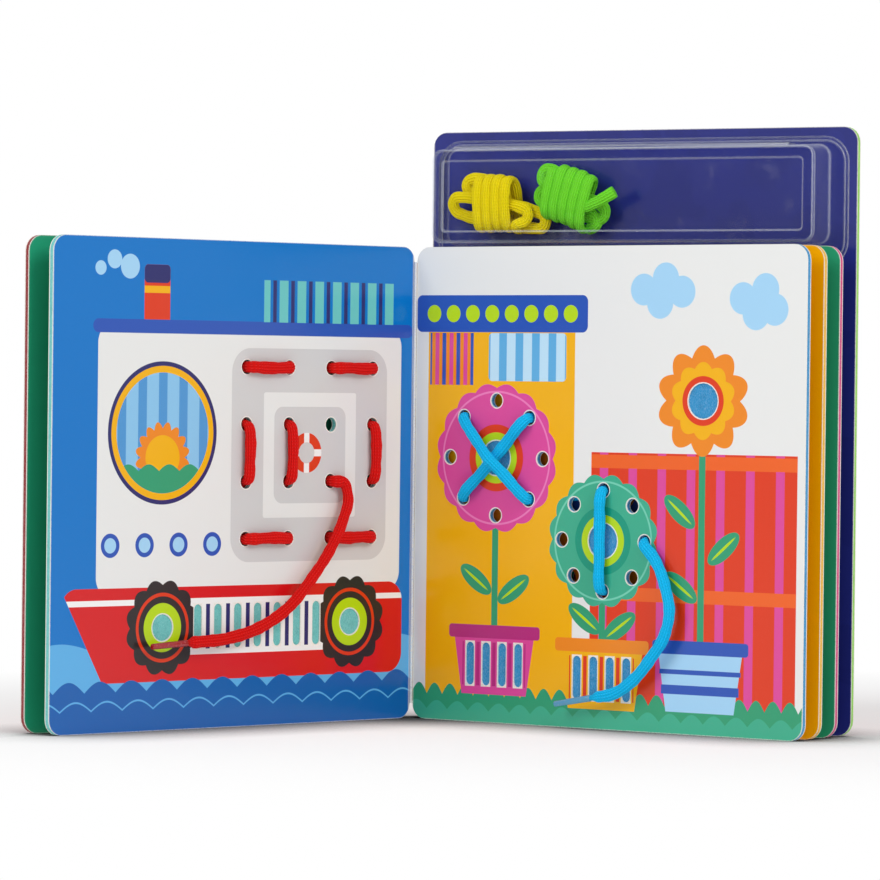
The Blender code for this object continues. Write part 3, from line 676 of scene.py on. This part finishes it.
# %% A finish of ribbed knit
def knit(name, code):
    finish = Finish(name)
    unwrapped = finish.node("ShaderNodeTexCoord", output="UV")
    around, along, _ = finish.parts(unwrapped)
    rib = abs((around * (pi * lace_ribs)).sin())
    slant = abs((around * lace_ribs) % 1.0 - 0.5)
    stitch = (along * (tau / 1.5) + slant * 8.0).sin() * 0.5 + 0.5
    fuzz = finish.noise(finish.place(), 2200.0, 3.0, 0.7)
    height = rib * 0.5 + stitch * rib * 0.45 + fuzz * 0.05
    # Painted shade: the grooves between the ribs and between the stitches are darkened.
    tone = finish.mix(colour(code), pure_black, (rib * 0.55 + stitch * 0.45).ramp(0.85, 0.05) * 0.2)
    # Painted highlight: the crests of the stitches are lightened, and the fuzz adds a few random pale fibres.
    tone = finish.mix(tone, pure_white, (stitch * rib).ramp(0.6, 1.0) * 0.03 + fuzz.ramp(0.6, 0.9) * 0.02)
    return finish.paint(Base_Color=tone, Roughness=0.75, Sheen_Weight=0.02, Sheen_Roughness=0.4,
                        Specular_IOR_Level=0.1, Normal=finish.bump(height, 0.45 * mm, 0.9))


# %% Stations along a lace, and the loft through them
def part(first, last, share):
    return first + (last - first) * share


class Station:
    """One oval section: its middle, the direction of its width, its width and its thickness."""

    def __init__(self, middle, across, width, thickness):
        self.middle, self.across, self.width, self.thickness = middle, across, width, thickness


def carried(stations, place):
    """The stations moved and turned by a matrix."""
    turned = place.to_3x3()
    return [Station(place @ station.middle, turned @ station.across, station.width, station.thickness)
            for station in stations]


def smooth(stations, spacing):
    """More stations, about spacing apart, on one smooth curve through the given ones."""
    for before, here in zip(stations, stations[1:]):
        if here.across.dot(before.across) < 0:
            here.across = -here.across
    chords = [there.middle - here.middle for here, there in zip(stations, stations[1:])]
    reach = [chord.length for chord in chords]
    slopes = [chords[0].normalized()]
    for k in range(1, len(chords)):
        slopes.append((chords[k - 1] * (reach[k] / reach[k - 1]) + chords[k] * (reach[k - 1] / reach[k]))
                      / (reach[k - 1] + reach[k]))
    slopes.append(chords[-1].normalized())
    finer = []
    for k, (here, there) in enumerate(zip(stations, stations[1:])):
        steps = max(1, round(reach[k] / spacing))
        for t in (step / steps for step in range(steps)):
            ease = t * t * (3 - 2 * t)
            middle = (here.middle.lerp(there.middle, ease) + slopes[k] * (reach[k] * t * (1 - t) ** 2)
                      - slopes[k + 1] * (reach[k] * t * t * (1 - t)))
            finer.append(Station(middle, here.across.lerp(there.across, ease),
                                 part(here.width, there.width, ease),
                                 part(here.thickness, there.thickness, ease)))
    return finer + [stations[-1]]


def loft_lace(name, stations):
    """A ribbed tube through the stations, closed at both ends. Slow ripples keep it from looking machined."""
    work = bmesh.new()
    unwrap = work.loops.layers.uv.new("lace")
    sides = lace_ribs * rib_steps
    rings, lengths, across, length = [], [], stations[0].across, 0.0
    for k, station in enumerate(stations):
        ahead = stations[min(k + 1, len(stations) - 1)].middle
        behind = stations[max(k - 1, 0)].middle
        along = (ahead - behind).normalized()
        wanted = station.across - along * station.across.dot(along)
        across = wanted.normalized() if wanted.dot(across) > 0 else -wanted.normalized()
        over = along.cross(across)
        length += (station.middle - stations[max(k - 1, 0)].middle).length
        lengths.append(length / mm)
        ripple = 1 + sum(size * sin(length / mm * pace) for size, pace in ripples)
        ring = []
        for side in range(sides):
            turn = tau * side / sides
            rib = ripple * (1 - rib_depth * (1 - abs(sin(lace_ribs / 2 * turn))))
            ring.append(work.verts.new(station.middle + across * (station.width / 2 * rib * cos(turn))
                                       + over * (station.thickness / 2 * rib * sin(turn))))
        rings.append(ring)
    for row, (ring, following) in enumerate(zip(rings, rings[1:])):
        for side in range(sides):
            beside = (side + 1) % sides
            face = work.faces.new((ring[side], ring[beside], following[beside], following[side]))
            face.smooth = True
            corners = (side, row), (side + 1, row), (side + 1, row + 1), (side, row + 1)
            for loop, (u, v) in zip(face.loops, corners):
                loop[unwrap].uv = (u / sides, lengths[v])
    work.faces.new(rings[0][::-1])
    work.faces.new(rings[-1])
    bmesh.ops.recalc_face_normals(work, faces=work.faces)
    mesh = bpy.data.meshes.new(name)
    work.to_mesh(mesh)
    work.free()
    made = new_object(name, mesh)
    print(name, "is", round(length / mm), "mm long, with", len(mesh.polygons), "faces")
    return made, length


# %% [markdown]
# ## Threading the two laces
# Each hole gets a station in its middle and a quarter turn on each side of the board, and the route repeats
# the source's points. On the side that shows, a stitch is plump and arches a little, and where two cross,
# the later one rides over the first. On the hidden side it lies flat, because the next page presses it.

# %% Stations in a board's own axes
def on_board(out, up, height, facing):
    """A point at height over the board's middle."""
    return Vector((out, facing * height - near_face - layer_middle, up))


def side_axis(along):
    return Vector((-along.z, 0, along.x))


def direction(here, there):
    return Vector((there[0] - here[0], 0, there[1] - here[1])).normalized()


def lace_height(thickness):
    return layer_middle + lace_gap + thickness / 2


def bend(hole, along, facing, thickness):
    turned = []
    for turn, share in ((pi / 4, 0.6), (pi / 2, 1.0)):
        middle = on_board(*hole, lace_height(thickness) - lace_turn * (1 - sin(turn)), facing)
        middle += along * (lace_turn * (1 - cos(turn)))
        turned.append(Station(middle, side_axis(along), part(hole_lace_width, lace_width, share),
                              part(hole_lace_thickness, thickness, share)))
    return turned


def stitch(here, there, facing, thickness, number, lift):
    """A stitch between two holes. On the side that shows it arches, and no two arch quite alike."""
    along = direction(here, there)
    shown = thickness == lace_shown
    arch = lace_rise if shown and (Vector(there) - Vector(here)).length < longest_arch else 0
    stations = bend(here, along, facing, thickness)
    for share in stitch_shares:
        lifted = lift * max(0.0, 1 - abs(share - 0.5) * 2.2)
        rise = lifted if shown and lift else arch * sin(pi * share)
        lean = stitch_lean * sin(2.4 * number + 3 * share) if shown else 0
        out, up = Vector(here).lerp(Vector(there), share)
        middle = on_board(out, up, lace_height(thickness) + rise, facing) + side_axis(along) * lean
        width = lace_width * (1 + stitch_play * sin(1.7 * number + 5 * share))
        stations.append(Station(middle, side_axis(along), width, thickness))
    return stations + bend(there, -along, facing, thickness)[::-1]


def in_hole(hole, before, after):
    first, second = side_axis(before), side_axis(after)
    across = first + second if first.dot(second) >= 0 else first - second
    return Station(on_board(*hole, 0, 1), across.normalized(), hole_lace_width, hole_lace_thickness)


def loose_end(points, facing, thickness, start):
    """Stations along a loose end, at heights over the board's face. The lace narrows only close to its tip."""
    route = [start] + [on_board(out, up, layer_middle + height, facing) for out, up, height in points]
    last = (route[-1] - route[-2]).normalized()
    route.insert(-1, route[-1] - last * taper_reach)
    stations = []
    for here, there in zip(route[1:], route[2:] + [route[-1] + last]):
        stations.append(Station(here, side_axis((there - here).normalized()), lace_width, thickness))
    stations[-1] = Station(route[-1], stations[-1].across, lace_end, lace_end)
    return stations + [Station(route[-1] + last * mm, stations[-1].across, lace_end * 0.9, lace_end * 0.9)]


# %% The two routes
def thread(holes, facing, lifts, start, free):
    """Every stitch that lies on the first side shows, and the others are pressed by the next page."""
    shown = facing

    def lying(side):
        return lace_shown if side == shown else lace_pressed

    before = direction(holes[0], start[0])
    first_bend = bend(holes[0], before, -facing, lying(-facing))
    stations = loose_end(start, -facing, lying(-facing), first_bend[-1].middle)[::-1] + first_bend[::-1]
    for number, (here, there) in enumerate(zip(holes, holes[1:])):
        along = direction(here, there)
        stations.append(in_hole(here, before, along))
        stations += stitch(here, there, facing, lying(facing), number, lifts.get(number, 0))
        before, facing = along, -facing
    last = direction(holes[-1], free[0])
    last_bend = bend(holes[-1], last, facing, lying(facing))
    stations.append(in_hole(holes[-1], before, last))
    return stations + last_bend + loose_end(free, facing, lying(facing), last_bend[-1].middle)


def millimetres(points):
    return [tuple(value * mm for value in point) for point in points]


def ring_hole(middle, radius, k):
    return ((middle[0] + radius * cos(tau * k / ring_count)) * mm,
            (middle[1] + radius * sin(tau * k / ring_count)) * mm)


red_holes = [((grid_first[0] + grid_pitch * across) * mm, (grid_first[1] + grid_pitch * up) * mm)
             for across, up in ((3, 3), (2, 3), (1, 3), (0, 3), (0, 2), (0, 1), (0, 0), (1, 0), (2, 0), (3, 0),
                                (3, 1), (3, 2), (2, 2), (2, 1), (1, 1))]
blue_holes = ([ring_hole(large_flower, large_ring_radius, k) for k in (1, 5, 3, 7)]
              + [ring_hole(small_flower, small_ring_radius, k) for k in (2, 6, 0)])
red_start = millimetres([(112.0, 163.5, 1.6), (131.0, 161.0, 2.2)])
red_free = millimetres([(46.8, 110.6, 3.0), (45.0, 104.2, 4.5), (50.2, 92.8, 6.8), (58.2, 79.5, 7.0),
                        (69.0, 66.6, 6.6), (82.4, 53.9, 6.2), (99.3, 45.2, 6.0), (121.0, 40.3, 6.0),
                        (143.4, 39.1, 6.0)])
blue_start = millimetres([(76.0, 143.5, 1.5), (96.0, 147.0, 2.0), (120.0, 143.0, 2.4), (146.0, 134.0, 2.6),
                          (172.0, 137.0, 2.8), (188.0, 144.0, 2.8)])
blue_free = millimetres([(138.5, 79.5, 2.6), (146.8, 65.8, 4.5), (149.8, 55.1, 5.5), (147.6, 44.3, 6.0),
                         (140.1, 33.6, 6.0), (130.9, 23.7, 6.0), (118.3, 16.4, 6.0), (107.7, 14.5, 6.0)])


# %% Tube tips
def tip_finish(name, code):
    finish = Finish(name)
    scuff = finish.noise(finish.place(), 900.0, 3.0)
    tone = finish.mix(colour(code), pure_white, scuff.ramp(0.55, 0.9) * 0.15)
    return finish.paint(Base_Color=tone, Roughness=scuff * 0.2 + 0.1, Coat_Weight=0.5, IOR=1.5,
                        Normal=finish.bump(scuff, 0.1 * mm, 0.3))


tip_diameter, tip_length, tip_gap = 3.0 * mm, 20.5 * mm, 0.3 * mm
tip_rounding, tip_taper = 0.35 * mm, 0.12


def add_tip(name, end, along, body, node, material):
    """A rolled plastic tube with rounded ends, slightly wider where the lace goes in."""
    bpy.ops.object.select_all(action="DESELECT")
    bpy.ops.mesh.primitive_cylinder_add(vertices=32, radius=tip_diameter / 2, depth=tip_length)
    tip = bpy.context.object
    tip.name = name
    bpy.ops.object.mode_set(mode="EDIT")
    bpy.ops.mesh.select_all(action="SELECT")
    bpy.ops.mesh.bevel(offset=tip_rounding, segments=3, affect="EDGES")
    bpy.ops.object.mode_set(mode="OBJECT")
    for vertex in tip.data.vertices:
        share = 1 - tip_taper * (vertex.co.z / tip_length + 0.5)
        vertex.co.x *= share
        vertex.co.y *= share
    bpy.ops.object.shade_smooth_by_angle(angle=radians(50))
    turned = along.to_track_quat("Z", "X").to_matrix().to_4x4()
    tip.data.transform(Matrix.Translation(end + along * (tip_gap + tip_length / 2)) @ turned)
    stand_for(tip, node, body, material)
    return tip


red_tip, blue_tip = tip_finish("red_tip_finish", "A3141C"), tip_finish("blue_tip_finish", "4E9AC2")


# %% Thread them
def lace_book(name, body, stations, code, tip_material):
    finer = smooth(carried(stations, axes[body]), ring_spacing)
    lace, length = loft_lace(name, finer)
    shade = name.split("_")[0]
    stand_for(lace, f"{shade}_lace", body, knit(name + "_knit", code))
    for end, before, place in ((finer[-1], finer[-3], "tip"), (finer[0], finer[2], "start_tip")):
        along = (end.middle - before.middle).normalized()
        add_tip(f"{shade}_tube_{place}", end.middle - along * mm, along, body,
                            f"{shade}_lace_{place}", tip_material)


lace_book("red_knitted_lace", "leaf_1", thread(red_holes, 1, {}, red_start, red_free), "E6100C", red_tip)
crossing = {2: lace_shown + lace_gap}
lace_book("blue_knitted_lace", "leaf_2", thread(blue_holes, -1, crossing, blue_start, blue_free), "0CC2FC",
          blue_tip)


# %% [markdown]
# ## Clear plastic
# The tray and its lid are pressed from one thin clear sheet. Thin clear plastic hardly bends what is behind
# it: it lets most light straight through, and mirrors more of the room the flatter one looks along it. A
# glass shader would make the render slow and dark, so the finish mixes a transparent shader with a glossy
# one. The share of gloss is Schlick's fifth power of how edge-on the sheet is seen, which works the same
# from both of its sides. The pressed bends are where such a sheet catches the lamps, so they get some gloss
# of their own. To the lamps' own light, the shadow rays, the sheet is all clear, so that what lies in the
# tray stays bright.

# %% A thin clear finish
def clear_sheet(name):
    finish = Finish(name)
    here = finish.place()
    ripple = finish.noise(here, 38.0, 2.0)
    scuff = finish.noise(here, 420.0, 3.0)
    smudge = finish.noise(here, 60.0, 4.0, 0.7)
    wave = finish.bump(ripple, 3.0 * mm, 0.35)
    edge_on = finish.node("ShaderNodeLayerWeight", None, {"Blend": 0.5, "Normal": wave}, output="Facing")
    clear = finish.node("ShaderNodeBsdfTransparent", None, {"Color": (0.97, 0.975, 0.99, 1)})
    gloss = finish.shader(Base_Color=(0.75, 0.78, 0.9, 1), Roughness=scuff * 0.1 + 0.04, Normal=wave, IOR=1.5)
    facing_out = finish.parts(finish.node("ShaderNodeTexCoord", output="Normal"))[1]
    bent = facing_out * facing_out * (1 - facing_out * facing_out) * 4.0
    mirrored = edge_on.math("POWER", edge_on, 5.0) * 0.4 + bent * 0.18 + smudge.ramp(0.58, 0.85) * 0.05
    return finish.show(finish.blend(clear, gloss, mirrored * (1 - finish.ray("Shadow"))))


clear_plastic = clear_sheet("clear_tray_plastic")


# %% [markdown]
# ## Pressing a sheet
# A pressed sheet is a stack of rounded outlines, each a little smaller and deeper than the last. A plane
# with bevelled corners is extruded from outline to outline, and its corner points are moved to the next
# rounded rectangle. Solidify then gives the skin its thickness. The tray is open at the front and glued
# round its flange.

# %% Press a sheet
sheet_thickness, lid_thickness, lip_thickness = 0.5 * mm, 0.4 * mm, 0.3 * mm
least_corner = 1.8 * mm


def turn_in(first, last, depth_first, steps=4):
    """A quarter turn of a pressed profile, from one inset and depth to the next."""
    turned = []
    for turn in (pi / 2 * step / steps for step in range(1, steps + 1)):
        early, late = sin(turn), 1 - cos(turn)
        inset, depth = (late, early) if depth_first else (early, late)
        turned.append((part(first[0], last[0], inset), part(first[1], last[1], depth)))
    return turned


def levels(edges, corner, profile):
    """The outlines of a profile whose insets and depths are in millimetres."""
    left, bottom, right, top = edges
    return [((left + inset * mm, bottom + inset * mm, right - inset * mm, top - inset * mm),
             max(corner - inset * mm, least_corner), depth * mm) for inset, depth in profile]


def add_plane(name, middle, size, lean=0):
    """A flat sheet, ready to edit."""
    bpy.ops.object.select_all(action="DESELECT")
    bpy.ops.mesh.primitive_plane_add(size=1, location=middle, rotation=(lean, 0, 0))
    sheet = bpy.context.object
    sheet.name = name
    sheet.scale = (*size, 1)
    bpy.ops.object.transform_apply(location=True, rotation=True, scale=True)
    bpy.ops.object.mode_set(mode="EDIT")
    return sheet


def press_sheet(name, profile):
    """Extrudes one rounded face from level to level. Each level has its edges, corner radius and depth."""
    (left, bottom, right, top), corner, depth = profile[0]
    middle = ((left + right) / 2, depth, (bottom + top) / 2)
    sheet = add_plane(name, middle, (right - left, top - bottom), pi / 2)
    bpy.ops.mesh.select_all(action="SELECT")
    bpy.ops.mesh.bevel(offset=corner, segments=8, affect="VERTICES")
    for (edges, corner, depth), (new_edges, new_corner, new_depth) in zip(profile, profile[1:]):
        bpy.ops.mesh.extrude_region_move()
        work = bmesh.from_edit_mesh(sheet.data)
        left_behind = [face for face in work.faces if len(face.verts) > 4 and not face.select]
        bmesh.ops.delete(work, geom=left_behind, context="FACES_ONLY")
        for vertex in (vertex for vertex in work.verts if vertex.select):
            for axis, low, high in ((0, 0, 2), (2, 1, 3)):
                near_high = vertex.co[axis] > (edges[low] + edges[high]) / 2
                side, which = (1, high) if near_high else (-1, low)
                offset = vertex.co[axis] - (edges[which] - side * corner)
                vertex.co[axis] = new_edges[which] - side * new_corner + offset * new_corner / corner
            vertex.co.y = new_depth
        bmesh.update_edit_mesh(sheet.data)
    return sheet


def finish_sheet(sheet, thickness, node, body, smooth_to=40, offset=-1):
    """Gives the sheet its thickness and puts it in a node's place."""
    bpy.ops.object.mode_set(mode="OBJECT")
    bpy.ops.object.shade_smooth_by_angle(angle=radians(smooth_to))
    wall = sheet.modifiers.new("wall", "SOLIDIFY")
    wall.thickness, wall.offset = thickness, offset
    bpy.ops.object.modifier_apply(modifier="wall")
    sheet.data.transform(axes["back_cover"])
    stand_for(sheet, node, body, clear_plastic)
    print(sheet.name, "has", len(sheet.data.polygons), "faces")


# %% Press the tray
tray_edges = tuple(value * mm for value in (9.4, 221.6, 204.4, 265.6))
flange_edges = tuple(value * mm for value in (3.6, 210.5, 214.2, 270.0))
tray_corner, flange_corner = 5.0 * mm, 12.0 * mm
flange_profile = [(0, 0.5), (0, 0.2), *turn_in((0, 0.2), (0.3, -0.05), True), (1.5, -0.05),
                  *turn_in((1.5, -0.05), (1.8, -0.4), False), *turn_in((1.8, -0.4), (2.1, -0.5), True),
                  (2.6, -0.5), *turn_in((2.6, -0.5), (2.9, -0.05), False)]
wall_profile = [(-1.1, -0.05), *turn_in((-1.1, -0.05), (0.0, -1.2), False), (0.35, -8.0), (0.7, -15.4),
                *turn_in((0.7, -15.4), (1.4, -16.3), True)]
tray = press_sheet("pressed_tray", levels(flange_edges, flange_corner, flange_profile)
                   + levels(tray_edges, tray_corner, wall_profile))
bpy.ops.mesh.delete(type="ONLY_FACE")
finish_sheet(tray, sheet_thickness, "thread_tray", "back_cover")

# %% Press the lid
lid_edges = tuple(value * mm for value in (9.4, 221.6, 204.4, 265.3))
lid_profile = [(0, -14.9), (0.1, -16.6), *turn_in((0.1, -16.6), (0.9, -17.4), True), (5.0, -17.4),
               *turn_in((5.0, -17.4), (5.4, -17.0), False), (5.7, -16.7),
               *turn_in((5.7, -16.7), (6.1, -16.3), True)]
hinge_side, border_depth = 264.8 * mm, -16.6 * mm
lid = press_sheet("pressed_lid", levels(lid_edges, tray_corner, lid_profile))
bpy.ops.mesh.select_mode(type="FACE")
bpy.ops.mesh.select_all(action="DESELECT")
for face in bmesh.from_edit_mesh(lid.data).faces:
    middle = face.calc_center_median()
    face.select_set(middle.z > hinge_side and middle.y > border_depth and abs(face.normal.z) > 0.9)
bpy.ops.mesh.delete(type="FACE")
finish_sheet(lid, lid_thickness, "tray_lid", "tray_lid")

# %% [markdown]
# ## The lid's hinge
# Along the top, the tray's sheet runs forward over the lid and ends in a rolled bead, on which the lid
# turns. It starts as a narrow strip, whose front edge is extruded from point to point of the bead.

# %% Roll the hinge's bead
lip_left, lip_right = 21.4 * mm, 192.4 * mm
lip_top, lip_front, lip_back = 265.9, -14.0, -11.0
bead_middle, bead_radius = (-17.0, 265.4), 0.95
lip_middle = ((lip_left + lip_right) / 2, (lip_front + lip_back) / 2 * mm, lip_top * mm)
lip = add_plane("rolled_hinge_lip", lip_middle, (lip_right - lip_left, (lip_back - lip_front) * mm))
bpy.ops.mesh.select_mode(type="EDGE")
lip_mesh = bmesh.from_edit_mesh(lip.data)
for edge in lip_mesh.edges:
    edge.select = all(vertex.co.y < (lip_front + 0.5) * mm for vertex in edge.verts)
lip_mesh.select_flush_mode()
bead = [(bead_middle[0] - bead_radius * sin(turn), bead_middle[1] + bead_radius * cos(turn))
        for turn in (pi / 6 * step for step in range(9))]
here = (lip_front, lip_top)
for there in [(-15.6, 265.95), *bead]:
    step = (0, (there[0] - here[0]) * mm, (there[1] - here[1]) * mm)
    bpy.ops.mesh.extrude_region_move(TRANSFORM_OT_translate={"value": step})
    here = there
finish_sheet(lip, lip_thickness, "thread_tray", "back_cover", smooth_to=60, offset=0)

# %% [markdown]
# ## Spare laces
# Two more laces lie in the tray, each folded into a few long loops and then wound round its middle. The
# loops show at both ends and the turns lie side by side. The loft is the same as for the threaded laces;
# only the stations differ, so the hank stays one lace from end to end.

# %% Wind a hank
hank_lace, hank_thickness = 5.6 * mm, 3.2 * mm
wrap_lace, wrap_thickness = 5.1 * mm, 3.0 * mm
run_depth = 1.65 * mm
wrap_reach = Vector((0, 4.6, 12.0)) * mm
wrap_pitch = 4.8 * mm
wrap_step, wrap_roundness = 20, 0.75


def hank_stations(start, folds, loose, turns, first, sense, lean):
    """A hank about its own middle, in mm: X along it, Z up, and a layer, -1 at the front or 1 behind. The lace
    runs from fold to fold, and then round them all from the turn called first, up the front where sense is 1.
    Each fold has how far along it lies, and the heights and the layers it joins."""
    def flat(*place):
        return Station(Vector(place) * mm, upright, hank_lace, hank_thickness)

    def run(along, height, layer):
        return flat(along, run_depth / mm * layer, height)

    stations = [flat(*place) for place in loose]
    here = start
    for reach, height, next_height, layer, next_layer in folds:
        there = (reach, height, layer)
        for share in (0.08, 0.5, 1.0):
            stations.append(run(*[part(a, b, share) for a, b in zip(here, there)]))
        way, radius = (1 if reach > 0 else -1), (height - next_height) / 2
        for turn in (pi / 4, pi / 2, 3 * pi / 4):
            fold = run(reach + way * abs(radius) * sin(turn), next_height + radius * (1 + cos(turn)),
                       part(layer, next_layer, (1 - cos(turn)) / 2))
            fold.across = Vector((way * sin(turn), 0, cos(turn) * (1 if radius > 0 else -1)))
            stations.append(fold)
        here = (reach, next_height, next_layer)
    wound = wrap_pitch * turns / 2
    for step in range(0, 360 * turns + 180, wrap_step):
        turn = first + step * sense
        place = Vector((wound - wrap_pitch * step / 360, 0, 0))
        for axis, value in ((1, -cos(radians(turn))), (2, sin(radians(turn)))):
            place[axis] = wrap_reach[axis] * (abs(value) ** wrap_roundness) * (1 if value > 0 else -1)
        place.z *= 1 + 0.03 * sin(step * 0.013 + 1)
        place.x += (lean + 0.03 * sin(turn * 0.017)) * place.z
        stations.append(Station(place, Vector((1, 0, lean)), wrap_lace, wrap_thickness))
    return stations


def add_hank(name, node, code, middle, tilt, stations):
    """Lofts a hank with its middle at a place of the back cover, tilted in degrees."""
    hank_middle = axes["back_cover"].translation + Vector(middle) * mm
    place = Matrix.Translation(hank_middle) @ Matrix.Rotation(radians(tilt), 4, "Y")
    finer = smooth(carried(stations, place), ring_spacing)
    hank, length = loft_lace(name, finer)
    stand_for(hank, node, "back_cover", knit(name + "_knit", code))


yellow_folds = [(-15, 11.0, 5.0, 1, 1), (20.5, -3.6, -11.2, 1, 1), (-19.5, -5.6, 2.8, 1, -1),
                (13.5, -1.8, -8.0, -1, -1)]
green_folds = [(-14, 8.6, 1.6, -1, -1), (14.5, 1.4, -5.4, 1, 1), (-14.5, -7.2, -1.6, 1, 1),
               (12.5, -4.2, -10.0, 1, 1)]
green_tail = [(22, -4.6, 10.5), (18.5, -5.0, 6.4), (14.5, -4.9, 2.4), (10, -3.4, -0.8)]
add_hank("yellow_wound_lace", "yellow_lace_hank", "FFE600", (39.6, -7.4, 240.2), 2,
         hank_stations((5, 10, 1), yellow_folds, [], turns=4, first=-52, sense=-1, lean=-0.12))
add_hank("green_wound_lace", "green_lace_hank", "7CEC30", (78.0, -7.4, 242.8), 20,
         hank_stations((5, 0, -1), green_folds, green_tail, turns=4, first=-110, sense=1, lean=-0.06))

# %% [markdown]
# ## The spine wrap
# A strip of printed card is wrapped round the boards' folds at the back and glued to the back cover. Its
# shape is the CAD's, which is already right, so it only needs its print: the bands of the cover's stripes
# run on round it.

# %% Print the spine wrap
band_pair = 44 * mm
spine = Finish("spine_print")
rub = spine.noise(spine.place(), 300.0, 3.0)
band = abs((spine.parts(spine.place())[2] * (tau / band_pair)).sin()).ramp(0.48, 0.52)
inks = spine.mix(colour(cover_red), colour(red_orange), band)
rubbed = spine.mix(inks, pure_white, rub.ramp(0.62, 0.8) * 0.2)
coat(frame["nodes"]["spine_wrap"], spine.paint(Base_Color=rubbed, Roughness=rub * 0.2 + 0.2))

# %% [markdown]
# ## The colour view
# The picture is shown without a film look, so that each colour renders about as it is written.

# %% Show the colours as they are written
bpy.context.scene.view_settings.view_transform = "Standard"
